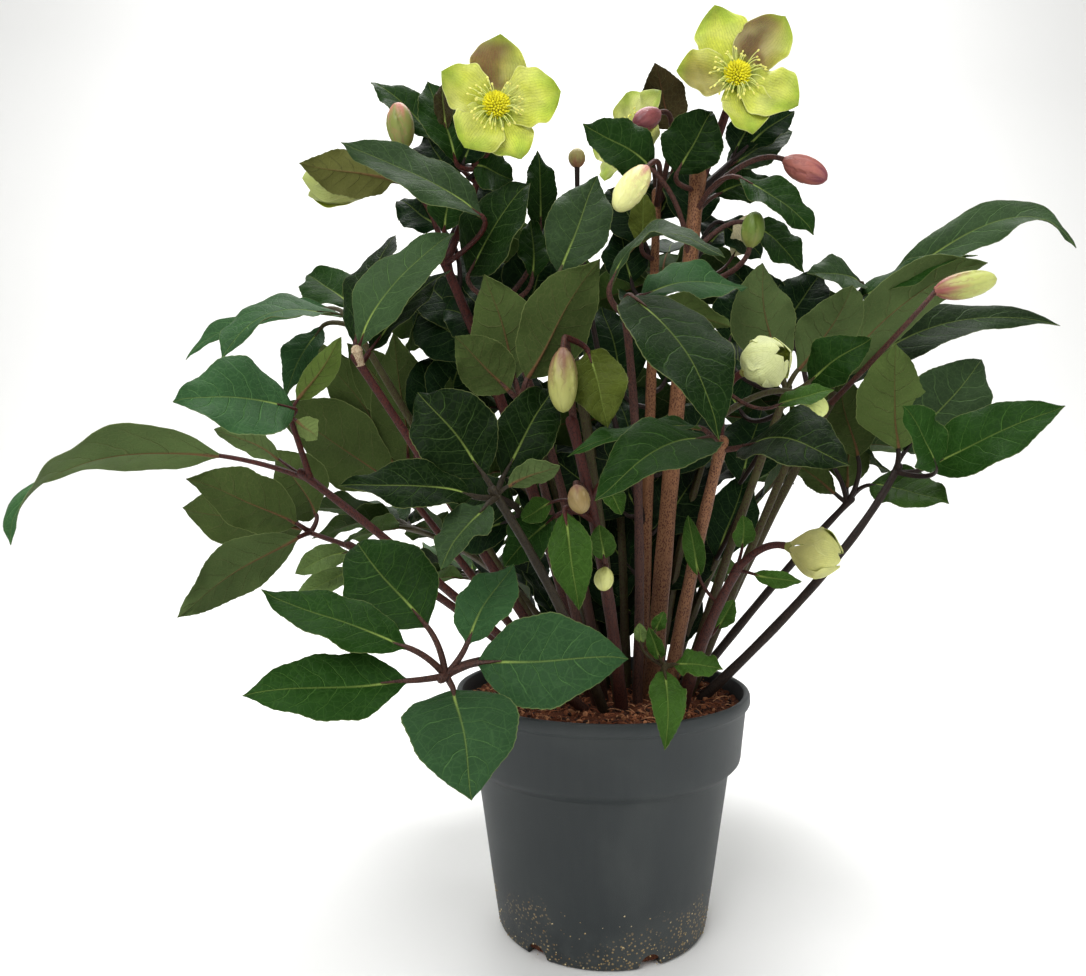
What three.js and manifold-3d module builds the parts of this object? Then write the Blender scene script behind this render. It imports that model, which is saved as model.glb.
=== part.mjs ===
// Hellebore in its nursery pot: pot, soil, leafy shoots, open flowers and buds.
// Millimetres, +Z up, origin at the middle of the pot's base, -Y is the front.
import * as THREE from 'three';
import { mergeVertices } from 'three/addons/utils/BufferGeometryUtils.js';
import Module from 'manifold-3d';

const wasm = await Module();
wasm.setup();

// ---------------------------------------------------------------- driving dimensions

const GAP = 0.3; // clearance between touching pieces

const POT = {
  height: 151,
  lip: 95, // radius of the rolled lip
  lipDepth: 7,
  neck: 92.5, // top of the rim band
  band: 89, // bottom of the rim band
  bandHeight: 110,
  shoulder: 82, // where the wall steps in under the band
  shoulderHeight: 103,
  foot: 67.5,
  footRound: 4,
  lipSlant: 1.5, // height of the bevel under the lip
  inside: 1, // how much higher the inner face turns at the band and the shoulder
  wall: 2,
  floor: 3,
  sides: 32,
};

const DRAIN = { count: 6, wide: 15, high: 9, turn: 21, through: 14, inset: 4, sides: 10 };

const SOIL = { level: 145, top: 78, slope: 3 };

// The crown is where all stems come out of the soil. Stems are sunk below the soil's level,
// and straight up to the collar above it; clear is the play of a stem in its hole.
const CROWN = { x: 20, y: 2, spread: 66, steep: 0.6, limit: 72, sunk: 14, collar: 9, roof: 13, clear: 0.4 };

const STEM = {
  sides: 5,
  steps: 4,
  twigSteps: 3,
  petiole: [3.2, 2.2], // radius at the soil and at the hub
  twig: [2, 1.5],
  top: 0.97, // share of a stem where its leaflets and twigs spring, unless they say another
  straight: 0.4, // share of a twig's run that points along its bud or flower
};

// Blade forms: stations are shares of the length from base to tip where a section is set.
const LEAFLET = {
  thick: 1.5,
  root: 0.4,
  stalk: 1.5,
  wave: 1.5,
  ripple: 9,
  fold: 0.16,
  arch: 0.08,
  stations: [0.1, 0.34, 0.6, 0.84],
};
const PLAIN_LEAFLET = { ...LEAFLET, stations: [0.15, 0.46, 0.8], under: 35 }; // narrow ones have it too
const SEPAL = {
  ...LEAFLET,
  thick: 1.3,
  root: 0.8,
  stalk: 1.6,
  wave: 0.6,
  fold: 0.08,
  stations: [0.1, 0.36, 0.62, 0.86],
};

// Shares of the reach, outward and forward, at the middle and the tip of each sepal.
const OPEN = { middle: [0.52, 0.07], tip: [1, 0.16], wide: 0.8, lift: 1.5, receptacle: 5, stamens: true };
const NODDING = { middle: [0.27, 0.46], tip: [0.2, 0.98], wide: 0.33, lift: 0.8, receptacle: 4.5 };
const OPENING = { middle: [0.46, 0.45], tip: [0.26, 1], wide: 0.55, lift: 0.8, receptacle: 4 };

const SEPAL_STEPS = [0, 2, 0, 2, 1]; // how far each sepal lies over its neighbours
const SEPAL_SEAT = 2; // the receptacle's centre is this far behind the sepals
const SEPAL_FOOT = { out: 3, back: 1 }; // where the blade of a sepal begins
const SEPAL_TILT = 0.2; // how far forward the inside of a closed sepal looks, inward being 1

// rings: how many stamens, how far out and how far forward their tips are.
const STAMENS = {
  rings: [[7, 8, 12], [9, 13, 9]],
  dome: 5,
  domeHeight: 7,
  domeSides: 6,
  seat: 0.9,
  radius: 0.9,
  foot: [3, 2],
};

const BUD = {
  sides: 6,
  gap: 1,
  neck: 0.3,
  stations: [0.12, 0.32, 0.58, 0.84],
  swell: [0.72, 1, 0.9, 0.42],
};

// ---------------------------------------------------------------- finishes

const finish = (color, roughness) => new THREE.MeshStandardMaterial({ color, roughness, metalness: 0 });

const FINISH = {
  pot: finish(0x3f4240, 0.55),
  soil: finish(0x3c2116, 0.98),
  leaf: finish(0x2c5634, 0.5),
  sepal: finish(0xb4c04c, 0.6),
  stamen: finish(0xe0d438, 0.6),
  bud: finish(0xcfc890, 0.6),
};

// ---------------------------------------------------------------- leaves
// face is where the upper side looks: azimuth from the front towards +X, and elevation.
// via is a point that the midrib passes half way, in place of the plain arch.

const LEAVES = [
  {
    name: 'leaf_front_low',
    bend: [-62, -92, 200],
    hub: [-88, -140, 187],
    leaflets: [
      { base: [-105, -143, 203], tip: [-172, -152, 232], wide: 36, face: [0, 60], arch: -0.02 },
      { base: [-96, -136, 212], tip: [-140, -92, 250], wide: 48, face: [-10, 28] },
      { base: [-76, -134, 203], tip: [-54, -108, 240], wide: 30, face: [-20, 25] },
      { base: [-70, -142, 195], tip: [2, -152, 199], wide: 46, face: [5, 25] },
      { base: [-82, -143, 182], tip: [-68, -202, 151], wide: 52, face: [0, 56] },
      { base: [-104, -147, 186], tip: [-176, -166, 181], wide: 36, face: [0, 44], arch: 0.02 },
    ],
  },
  {
    name: 'leaf_far_left',
    bend: [-84, -62, 216],
    hub: [-180, -60, 289],
    leaflets: [
      {
        base: [-228, -60, 299],
        via: [-300, -85, 294],
        tip: [-318, -110, 250],
        wide: 50,
        face: [165, 40],
        turn: [-40, 30],
      },
      { base: [-196, -50, 297], tip: [-240, -38, 316], wide: 18, face: [180, 30] },
      { on: 1, base: [-180, -74, 325], tip: [-232, -112, 325], wide: 56, face: [-10, 22], arch: 0.12 },
      { on: 1, base: [-181, -64, 331], tip: [-160, -46, 371], wide: 18, face: [170, 20] },
      { on: 1, base: [-178, -75, 318], tip: [-164, -84, 308], wide: 14, face: [180, 20] },
    ],
    twigs: [{ to: [-184, -70, 322], radius: [1.9, 1.6] }],
  },
  {
    name: 'leaf_left_under',
    bend: [-100, -5, 212],
    hub: [-164, -10, 243],
    leaflets: [
      { on: 1, base: [-200, 10, 253], tip: [-294, 42, 266], wide: 56, face: [180, 25], arch: 0.0 },
      { on: 1, base: [-199, -6, 257], tip: [-272, -4, 286], wide: 42, face: [180, 20] },
      { on: 1, base: [-196, -14, 248], tip: [-250, -66, 205], wide: 36, face: [160, 30] },
      { on: 1, base: [-191, 12, 262], tip: [-234, 52, 308], wide: 46, face: [180, 10] },
      { base: [-160, -26, 240], tip: [-186, -52, 229], wide: 18, face: [0, 35] },
    ],
    twigs: [{ to: [-192, -2, 251], radius: [1.9, 1.6] }],
  },
  {
    name: 'leaf_left_back',
    bend: [-84, 22, 215],
    hub: [-134, 28, 279],
    leaflets: [
      { base: [-146, 34, 284], tip: [-243, 76, 342], wide: 60, face: [180, 25] },
      { base: [-140, 34, 292], tip: [-206, 70, 382], wide: 52, face: [170, 15] },
      { base: [-132, 30, 296], tip: [-146, 50, 392], wide: 50, face: [180, 8] },
      { base: [-126, 36, 288], tip: [-106, 62, 366], wide: 46, face: [190, 10] },
    ],
  },
  {
    name: 'leaf_left_upper',
    bend: [-122, 2, 318],
    hub: [-166, 2, 391],
    leaflets: [
      { base: [-169, -8, 392], via: [-204, -40, 386], tip: [-222, -72, 354], wide: 42, face: [-10, 42] },
      { base: [-182, 12, 396], via: [-246, 22, 384], tip: [-278, 12, 365], wide: 28, face: [-20, 50] },
      { base: [-184, 0, 386], tip: [-204, -14, 338], wide: 24, face: [-10, 20] },
      { base: [-168, 18, 402], tip: [-212, 62, 436], wide: 38, face: [0, 40] },
    ],
  },
  {
    name: 'leaf_blue_left',
    bend: [-100, -36, 280],
    hub: [-146, -72, 355],
    leaflets: [
      { base: [-143, -73, 361], tip: [-90, -64, 428], wide: 38, face: [-15, 25], arch: 0.14 },
      { base: [-140, -60, 360], tip: [-94, -44, 412], wide: 26, face: [-10, 40] },
      { base: [-148, -62, 364], tip: [-134, -8, 444], wide: 32, face: [-20, 35] },
    ],
  },
  {
    name: 'leaf_centre_left',
    bend: [-27, -86, 218],
    hub: [-64, -125, 279],
    leaflets: [
      { base: [-68, -126, 286], tip: [-104, -112, 330], wide: 44, face: [0, 22] },
      { base: [-74, -130, 276], tip: [-134, -158, 281], wide: 28, face: [0, 42] },
      { base: [-66, -133, 272], tip: [-86, -160, 242], wide: 24, face: [-20, 30] },
      { base: [-56, -127, 281], tip: [-30, -134, 291], wide: 16, face: [170, 40] },
      { base: [-59, -118, 286], tip: [-32, -84, 336], wide: 32, face: [10, 22] },
    ],
  },
  {
    name: 'leaf_upper_mid',
    bend: [-30, -50, 250],
    hub: [-51, -88, 332],
    leaflets: [
      { base: [-54, -88, 340], tip: [-72, -72, 402], wide: 42, face: [170, 12] },
      { base: [-47, -92, 340], tip: [-8, -104, 402], wide: 40, face: [195, 12] },
      { base: [-57, -92, 333], tip: [-86, -98, 362], wide: 32, face: [180, 15] },
    ],
  },
  {
    name: 'leaf_upright_mid',
    bend: [-24, -28, 300],
    hub: [-68, -38, 398],
    leaflets: [
      { base: [-84, -40, 410], tip: [-46, -56, 460], wide: 54, face: [-20, 20] },
      { base: [-45, -48, 406], tip: [-46, -40, 444], wide: 20, face: [20, 20] },
      { base: [-40, -30, 440], tip: [-42, -30, 490], wide: 22, face: [20, 10] },
    ],
  },
  {
    name: 'leaf_blue_upper',
    bend: [-2, -44, 280],
    hub: [-30, -62, 396],
    leaflets: [
      { base: [-29, -63, 405], tip: [-6, -52, 466], wide: 38, face: [5, 15] },
    ],
  },
  {
    name: 'leaf_centre_top',
    bend: [22, -50, 290],
    hub: [6, -92, 380],
    leaflets: [
      { base: [8, -106, 382], tip: [42, -166, 302], wide: 50, face: [12, 38], arch: 0.12 },
      { base: [-2, -98, 390], via: [20, -114, 412], tip: [50, -142, 392], wide: 26, face: [0, 60] },
      { base: [18, -90, 380], tip: [62, -102, 366], wide: 22, face: [185, 40] },
      { base: [16, -84, 387], tip: [80, -66, 396], wide: 36, face: [10, 50] },
    ],
  },
  {
    name: 'leaf_right_upper',
    bend: [84, -26, 262],
    hub: [112, -36, 342],
    leaflets: [
      { base: [106, -44, 350], via: [93, -56, 382], tip: [92, -52, 414], wide: 42, face: [190, 10] },
      { base: [117, -40, 352], via: [136, -44, 378], tip: [138, -72, 396], wide: 38, face: [175, 20] },
      { base: [122, -46, 344], tip: [150, -70, 366], wide: 30, face: [10, 25] },
    ],
  },
  {
    name: 'leaf_right_tall',
    bend: [98, 0, 240],
    hub: [141, 4, 338],
    leaflets: [
      { base: [146, 2, 346], via: [197, -10, 402], tip: [236, -34, 419], wide: 48, face: [190, 28] },
      { base: [176, 12, 418], tip: [133, -6, 420], wide: 34, face: [0, 30] },
    ],
  },
  {
    name: 'leaf_right_round',
    bend: [156, -24, 236],
    hub: [191, -10, 294],
    leaflets: [
      { base: [190, -12, 305], tip: [191, -6, 374], wide: 52, face: [180, 12] },
      { base: [198, -4, 304], tip: [262, 22, 368], wide: 50, face: [0, 25] },
      { base: [206, -16, 293], tip: [266, -62, 328], wide: 46, face: [0, 35], arch: 0.03 },
      { base: [202, -38, 292], tip: [171, -62, 328], wide: 34, face: [10, 25] },
    ],
  },
  {
    name: 'leaf_right_low',
    bend: [142, 60, 226],
    hub: [177, 34, 272],
    leaflets: [
      { base: [186, 24, 282], tip: [222, -14, 270], wide: 40, face: [20, 24] },
      { base: [176, 40, 280], tip: [188, 44, 338], wide: 34, face: [180, 15] },
      { base: [168, 40, 276], tip: [138, 46, 300], wide: 20, face: [170, 30] },
    ],
  },
  {
    name: 'leaf_soil_front',
    bend: [30, -56, 165],
    hub: [33, -60, 176],
    radius: [2.4, 1.8],
    leaflets: [
      { base: [31, -70, 175], via: [29, -98, 165], tip: [25, -112, 143], wide: 20, face: [0, 30] },
      { base: [38, -62, 177], tip: [64, -74, 177], wide: 20, face: [10, 45] },
      { base: [30, -62, 180], tip: [22, -70, 200], wide: 10, face: [-20, 30] },
    ],
  },
];

// Leaves round the back and inside: azimuth, reach from the crown and height of each hub,
// and how steeply the leaf leans up from there.
const BACK_LEAVES = [
  [121, 176, 306, 26], [152, 206, 300, 36], [165, 198, 208, 24], [190, 205, 242, 34],
  [217, 196, 204, 26], [242, 184, 250, 28], [126, 138, 392, 48], [148, 150, 338, 52],
  [180, 158, 316, 44], [214, 152, 344, 54], [246, 128, 392, 46], [160, 96, 438, 50],
  [216, 98, 448, 56], [262, 84, 290, 66], [189, 58, 330, 64],
];

// The leaflets of such a leaf: how far each is turned from the middle one, and how long it is.
const BACK_FAN = {
  angles: [-76, -38, 0, 38, 76],
  lengths: [60, 74, 86, 74, 60],
  wide: 42,
  arch: 0.1,
  gap: 10, // from the hub to where a blade begins
  droop: [0.24, 0.44], // least and most share of its length that a tip hangs down
  twist: 0.3, // share of its angle that a leaflet's face is turned
};

// Where the stem of such a leaf bends: shares of the way out and up to its hub.
const BACK_BEND = { out: 0.45, up: 0.8 };

// ---------------------------------------------------------------- flowers
// Flowers: centre, where they face, and the direction and reach of each sepal
// (degrees from the right, counter-clockwise, seen from in front).
const FLOWERS = [
  {
    name: 'flower_left',
    centre: [-66, -60, 502],
    face: [5, 5],
    form: OPEN,
    sepals: [[87, 41], [11, 38], [-66, 36], [-122, 34], [152, 36]],
  },
  {
    name: 'flower_right',
    centre: [77, -50, 525],
    face: [-5, 8],
    form: OPEN,
    sepals: [[106, 43], [48, 42], [-38, 42], [-80, 41], [177, 36]],
  },
  {
    name: 'flower_behind',
    centre: [22, 10, 515],
    face: [-50, 12],
    form: OPEN,
    sepals: [[90, 34], [18, 34], [-54, 34], [-126, 34], [162, 34]],
  },
  {
    name: 'flower_side',
    centre: [-141, -22, 474],
    face: [-86, -2],
    form: NODDING,
    sepals: [[90, 46], [18, 46], [-54, 46], [-126, 46], [162, 46]],
  },
  {
    name: 'flower_opening_upper',
    centre: [74, -90, 343],
    face: [18, 30],
    form: OPENING,
    sepals: [[90, 27], [18, 27], [-54, 27], [-126, 27], [162, 27]],
  },
  {
    name: 'flower_opening_low',
    centre: [104, -72, 246],
    face: [72, -12],
    form: OPENING,
    sepals: [[90, 26], [18, 26], [-54, 26], [-126, 26], [162, 26]],
  },
];

// ---------------------------------------------------------------- flowering shoots
// Each has a thick stem, bracts, and twigs that end under a flower or a bud. What springs
// from a stem says from which one (0 is the main stem, then the twigs) and at what share of it.

const SHOOTS = [
  {
    name: 'shoot_left',
    bend: [-46, -12, 300],
    hub: [-103, -26, 428],
    radius: [4.4, 2.8],
    leaflets: [
      { base: [-74, -64, 438], tip: [-152, -80, 474], wide: 40, face: [0, 42], arch: 0.05 },
      { on: 1, at: 0.4, base: [-106, -22, 500], tip: [-149, -14, 540], wide: 27, face: [10, 30] },
      { on: 1, at: 0.5, base: [-92, -38, 480], tip: [-110, -32, 532], wide: 30, face: [10, 15] },
      { on: 2, at: 0.8, base: [-128, -48, 470], tip: [-182, -58, 476], wide: 30, face: [190, 8] },
      { on: 1, at: 0.55, base: [-82, -32, 480], tip: [-57, -24, 474], wide: 34, face: [0, 12] },
    ],
    twigs: [
      { flower: 'flower_left', radius: [2.6, 1.8] },
      { flower: 'flower_side' },
      { on: 1, at: 0.3, bud: { name: 'bud_left', base: [-124, -37, 488], tip: [-127, -40, 515], wide: 17 } },
    ],
  },
  {
    name: 'shoot_right',
    bend: [46, -14, 320],
    hub: [60, -20, 478],
    radius: [6, 4.6],
    leaflets: [
      { base: [44, -34, 474], tip: [64, -44, 508], wide: 40, face: [-10, 15] },
      { at: 0.82, base: [28, -44, 472], tip: [-15, -54, 496], wide: 36, face: [0, 8] },
      { at: 0.92, base: [80, -46, 467], tip: [120, -60, 428], wide: 30, face: [20, 30] },
      { at: 0.84, base: [92, -24, 446], tip: [124, -30, 414], wide: 32, face: [20, 20] },
      { at: 0.9, base: [80, -12, 486], tip: [124, -6, 512], wide: 30, face: [0, 20] },
    ],
    twigs: [
      { flower: 'flower_right', radius: [3.4, 2.2] },
      { at: 0.78, bud: { name: 'bud_back', base: [87, -42, 426], tip: [90, -45, 447], wide: 14 } },
      { at: 0.8, bud: { name: 'bud_right', base: [109, -38, 481], tip: [133, -45, 466], wide: 15.5 } },
    ],
  },
  {
    name: 'shoot_middle',
    bend: [34, 16, 320],
    hub: [38, 10, 478],
    radius: [4.4, 2.8],
    leaflets: [
      { base: [49, 14, 522], tip: [36, 8, 564], wide: 34, face: [180, 10] },
      { at: 0.95, base: [22, 22, 474], tip: [-8, 40, 482], wide: 26, face: [0, 40] },
    ],
    twigs: [
      { bud: { name: 'bud_cream', base: [22, -60, 467], tip: [3, -76, 438], wide: 17 } },
      { bud: { name: 'bud_pink', base: [35, -22, 517], tip: [18, -28, 506], wide: 14 } },
      { flower: 'flower_behind' },
      { at: 0.3, bud: { name: 'bud_small', base: [-17, -20, 483], tip: [-17, -21, 495], wide: 11 } },
    ],
  },
  {
    name: 'shoot_centre',
    bend: [-2, -80, 236],
    hub: [-23, -96, 316],
    radius: [4, 2.8],
    leaflets: [
      { on: 1, at: 0.75, base: [-14, -96, 354], tip: [-4, -104, 312], wide: 30, face: [0, 10] },
      { at: 0.66, base: [-27, -106, 267], tip: [-20, -118, 217], wide: 23, face: [0, 20] },
      { at: 0.7, base: [-34, -90, 272], tip: [-50, -88, 262], wide: 15, face: [0, 30] },
      { at: 0.72, base: [-6, -96, 282], tip: [3, -108, 266], wide: 14, face: [10, 30] },
      { at: 0.68, base: [-32, -84, 264], tip: [-60, -84, 236], wide: 27, face: [-10, 35] },
      { on: 3, at: 0.7, base: [-5, -90, 241], tip: [-8, -95, 260], wide: 15, face: [0, 10] },
    ],
    twigs: [
      {
        via: [-26, -100, 380],
        bud: { name: 'bud_hanging', base: [-28, -110, 353], tip: [-28, -116, 319], wide: 16 },
      },
      { at: 0.74, bud: { name: 'bud_tan', base: [-21, -104, 281], tip: [-18, -112, 267], wide: 12 } },
      { at: 0.45, bud: { name: 'bud_low', base: [-4, -88, 236], tip: [-6, -93, 224], wide: 11 } },
    ],
  },
  {
    name: 'shoot_front_right',
    bend: [50, -46, 230],
    hub: [62, -80, 306],
    radius: [4.6, 3],
    leaflets: [
      { base: [53, -90, 308], tip: [-14, -152, 274], wide: 44, face: [-10, 35], arch: 0.1 },
      { base: [50, -78, 314], tip: [-26, -122, 296], wide: 24, face: [-30, 60] },
      { base: [72, -88, 303], tip: [112, -138, 291], wide: 50, face: [20, 12], arch: 0.14 },
      { on: 1, at: 0.6, base: [92, -84, 326], tip: [122, -88, 334], wide: 16, face: [0, 40] },
    ],
    twigs: [
      { flower: 'flower_opening_upper', radius: [2.6, 2] },
      { on: 1, at: 0.3, bud: { name: 'bud_green', base: [108, -76, 332], tip: [122, -76, 322], wide: 13 } },
    ],
  },
  {
    name: 'shoot_low_right',
    bend: [58, -46, 196],
    hub: [76, -60, 234],
    radius: [4.2, 2.6],
    leaflets: [
      { base: [84, -64, 230], tip: [108, -76, 227], wide: 12, face: [0, -20] },
      { base: [80, -52, 244], tip: [79, -58, 264], wide: 14, face: [10, 20] },
      { at: 0.7, base: [54, -54, 228], tip: [46, -62, 264], wide: 13, face: [-20, 20] },
      { at: 0.4, base: [68, -38, 194], tip: [78, -40, 212], wide: 12, face: [10, 20] },
    ],
    twigs: [{ flower: 'flower_opening_low', radius: [2.4, 2] }],
  },
  {
    name: 'shoot_far_right',
    bend: [110, 24, 248],
    hub: [164, 30, 344],
    radius: [3.6, 2.6],
    leaflets: [
      { base: [192, 22, 412], via: [266, 4, 457], tip: [297, -24, 431], wide: 34, face: [15, 32] },
      { base: [174, 30, 352], via: [240, 34, 396], tip: [312, 16, 390], wide: 40, face: [10, 36] },
    ],
    twigs: [
      {
        via: [176, -44, 372],
        bud: { name: 'bud_far_right', base: [202, -36, 401], tip: [235, -46, 406], wide: 16.5 },
      },
    ],
  },
];

// ---------------------------------------------------------------- small geometry helpers

const vec = (point) => new THREE.Vector3(...point);
const radians = THREE.MathUtils.degToRad;

/** Unit vector from an azimuth (front towards +X) and an elevation, in degrees. */
function heading([azimuth, elevation]) {
  const flat = Math.cos(radians(elevation));
  return new THREE.Vector3(
    Math.sin(radians(azimuth)) * flat,
    -Math.cos(radians(azimuth)) * flat,
    Math.sin(radians(elevation)),
  );
}

/** The part of a vector that is square to an axis, at unit length. */
function squareTo(vector, axis) {
  const unit = axis.clone().normalize();
  return vector.clone().addScaledVector(unit, -vector.dot(unit)).normalize();
}

/** Repeatable number from 0 to 1 for a whole-number seed. */
function chance(seed) {
  const wide = Math.sin(seed * 127.1 + 11.7) * 43758.5453;
  return wide - Math.floor(wide);
}

/** A closed solid through rings of points; a ring of one point is a pointed end. */
function loft(rings) {
  const starts = [];
  const points = [];
  for (const ring of rings) {
    starts.push(points.length);
    points.push(...ring);
  }
  const faces = [];
  for (let i = 0; i + 1 < rings.length; i += 1) {
    const near = rings[i].length;
    const far = rings[i + 1].length;
    const count = Math.max(near, far);
    for (let j = 0; j < count; j += 1) {
      const k = (j + 1) % count;
      const a = starts[i] + (j % near);
      const b = starts[i] + (k % near);
      const c = starts[i + 1] + (k % far);
      const d = starts[i + 1] + (j % far);
      const leansRight = j < count / 2; // both faces of a blade are split alike
      if (near === 1) faces.push([a, c, d]);
      else if (far === 1) faces.push([a, b, c]);
      else if (leansRight) faces.push([a, b, c], [a, c, d]);
      else faces.push([a, b, d], [b, c, d]);
    }
  }
  const cap = (ring, start, flip) => {
    for (let j = 1; j + 1 < ring.length; j += 1) {
      faces.push(flip ? [start, start + j + 1, start + j] : [start, start + j, start + j + 1]);
    }
  };
  cap(rings[0], starts[0], true);
  cap(rings[rings.length - 1], starts[starts.length - 1], false);
  return solidOf(points, faces);
}

/** A manifold solid from points and triangles, turned so that its faces look out. */
function solidOf(points, faces) {
  let volume = 0;
  for (const [a, b, c] of faces) {
    volume += points[a].dot(points[b].clone().cross(points[c]));
  }
  const order = volume < 0 ? ([a, b, c]) => [a, c, b] : (face) => face;
  const vertProperties = new Float32Array(points.flatMap((p) => p.toArray()));
  const triVerts = new Uint32Array(faces.flatMap(order));
  return new wasm.Manifold(new wasm.Mesh({ numProp: 3, vertProperties, triVerts }));
}

/** A manifold solid from a closed geometry. */
function solidFrom(geometry) {
  const bare = geometry.clone();
  bare.deleteAttribute('normal');
  bare.deleteAttribute('uv');
  const merged = mergeVertices(bare, 1e-4);
  const vertProperties = new Float32Array(merged.attributes.position.array);
  const triVerts = new Uint32Array(merged.index.array);
  return new wasm.Manifold(new wasm.Mesh({ numProp: 3, vertProperties, triVerts }));
}

const SLIVER = 0.15; // facets smaller than this after a join are cleaned away

/** A named mesh from one or more solids that are joined. */
function meshOf(name, solids, material) {
  const joined = wasm.Manifold.union(solids).simplify(SLIVER);
  const result = joined.getMesh();
  const geometry = new THREE.BufferGeometry();
  geometry.setAttribute('position', new THREE.BufferAttribute(result.vertProperties, 3));
  geometry.setIndex(new THREE.BufferAttribute(result.triVerts, 1));
  const mesh = new THREE.Mesh(geometry, material);
  mesh.name = name;
  return mesh;
}

/** A small eight-sided knob with one of its corners along a direction. */
function knob(centre, radius, direction) {
  const ball = new THREE.OctahedronGeometry(radius, 0);
  ball.applyQuaternion(new THREE.Quaternion().setFromUnitVectors(THREE.Object3D.DEFAULT_UP, direction));
  ball.translate(...centre.toArray());
  return solidFrom(ball);
}

// ---------------------------------------------------------------- pot and soil

/** Corner of a turned profile: radius and height. */
const corner = (radius, height) => new THREE.Vector2(radius, height);

/** A turned solid: the profile is in radius and height, and closes on the axis. */
function turned(profile, sides) {
  const geometry = new THREE.LatheGeometry(profile, sides);
  geometry.rotateX(Math.PI / 2);
  return solidFrom(geometry);
}

/** The pot: a turned wall with a stepped rim band, and drainage notches round its foot. */
function makePot() {
  const { wall, height, lip, lipDepth, neck, band, bandHeight, shoulder, shoulderHeight } = POT;
  const body = turned([
    corner(0, 0),
    corner(POT.foot - POT.footRound, 0),
    corner(POT.foot, POT.footRound),
    corner(shoulder, shoulderHeight),
    corner(band, bandHeight),
    corner(neck, height - lipDepth - POT.lipSlant),
    corner(lip, height - lipDepth),
    corner(lip, height),
    corner(neck - wall, height),
    corner(band - wall, bandHeight + POT.inside),
    corner(shoulder - wall, shoulderHeight + POT.inside),
    corner(POT.foot - wall, POT.floor),
    corner(0, POT.floor),
  ], POT.sides);
  const drains = [];
  for (let i = 0; i < DRAIN.count; i += 1) {
    const notch = new THREE.CylinderGeometry(DRAIN.wide / 2, DRAIN.wide / 2, DRAIN.through, DRAIN.sides);
    notch.scale(1, 1, DRAIN.high / (DRAIN.wide / 2));
    notch.translate(0, DRAIN.inset - POT.foot, 0);
    notch.rotateZ(radians(DRAIN.turn + (360 * i) / DRAIN.count));
    drains.push(solidFrom(notch));
  }
  return meshOf('pot', [body.subtract(wasm.Manifold.union(drains))], FINISH.pot);
}

/** Soil up to just under the lip, with a hole for each stem. */
function makeSoil(holes) {
  const inner = (radius) => radius - POT.wall - GAP * 1.5;
  const rise = (SOIL.level - SOIL.slope - POT.bandHeight) / (POT.height - POT.bandHeight);
  const edge = inner(THREE.MathUtils.lerp(POT.band, POT.neck, rise));
  const body = turned([
    corner(0, POT.floor + GAP),
    corner(inner(POT.foot), POT.floor + GAP),
    corner(inner(POT.shoulder), POT.shoulderHeight + POT.inside),
    corner(inner(POT.band), POT.bandHeight + 2 * POT.inside),
    corner(edge, SOIL.level - SOIL.slope),
    corner(SOIL.top, SOIL.level),
    corner(0, SOIL.level),
  ], POT.sides);
  return meshOf('soil', [body.subtract(wasm.Manifold.union(holes))], FINISH.soil);
}

// ---------------------------------------------------------------- stems

/** Where a stem leaves the soil: stems fan out from the crown, low ones furthest out. */
function rootOf(row) {
  const lean = new THREE.Vector3(row.bend[0] - CROWN.x, row.bend[1] - CROWN.y, 0);
  const slope = lean.length() / (row.bend[2] - SOIL.level);
  const root = lean.setLength((CROWN.spread * slope) / (slope + CROWN.steep));
  root.add(new THREE.Vector3(CROWN.x, CROWN.y, 0));
  root.clampLength(0, CROWN.limit);
  root.z = SOIL.level;
  return root;
}

/** A round section; across is a direction that keeps sections of one stem in step. */
function stemRing(centre, tangent, across, radius) {
  const side = squareTo(across, tangent);
  const other = tangent.clone().normalize().cross(side);
  const ring = [];
  for (let j = 0; j < STEM.sides; j += 1) {
    const angle = (2 * Math.PI * j) / STEM.sides;
    const point = centre.clone().addScaledVector(side, Math.cos(angle) * radius);
    ring.push(point.addScaledVector(other, Math.sin(angle) * radius));
  }
  return ring;
}

/** A direction that no stem runs along. */
const ASKEW = new THREE.Vector3(0.3, 1, 0.1);

/** The direction square to the plane in which a stem bends. */
function bendAxis(curve) {
  const first = curve.v1.clone().sub(curve.v0);
  const axis = first.clone().cross(curve.v2.clone().sub(curve.v1));
  return axis.length() < 1 ? first.clone().cross(ASKEW) : axis;
}

/** Sections along a curve, with a radius that runs from one end to the other. */
function curveRings(curve, [near, far], steps) {
  const axis = bendAxis(curve);
  const rings = [];
  for (let i = 0; i <= steps; i += 1) {
    const along = i / steps;
    const radius = THREE.MathUtils.lerp(near, far, along);
    rings.push(stemRing(curve.getPoint(along), curve.getTangent(along), axis, radius));
  }
  return rings;
}

/** A stem, straight in the soil and then bending to its hub, and the hole it stands in. */
function makeStem(row, radius) {
  const root = rootOf(row);
  const rise = vec(row.bend).sub(root).normalize();
  const at = (distance) => root.clone().addScaledVector(rise, distance);
  const bent = new THREE.QuadraticBezierCurve3(at(CROWN.collar), vec(row.bend), vec(row.hub));
  const axis = bendAxis(bent);
  const foot = stemRing(at(-CROWN.sunk), rise, axis, radius[0]);
  const stem = loft([foot, ...curveRings(bent, radius, STEM.steps)]);
  const clear = radius[0] + CROWN.clear;
  const holeFloor = stemRing(at(-CROWN.sunk - GAP), rise, axis, clear);
  const holeRoof = stemRing(at(CROWN.roof), rise, axis, clear);
  return { stem, hole: loft([holeFloor, holeRoof]), curve: bent };
}

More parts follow.
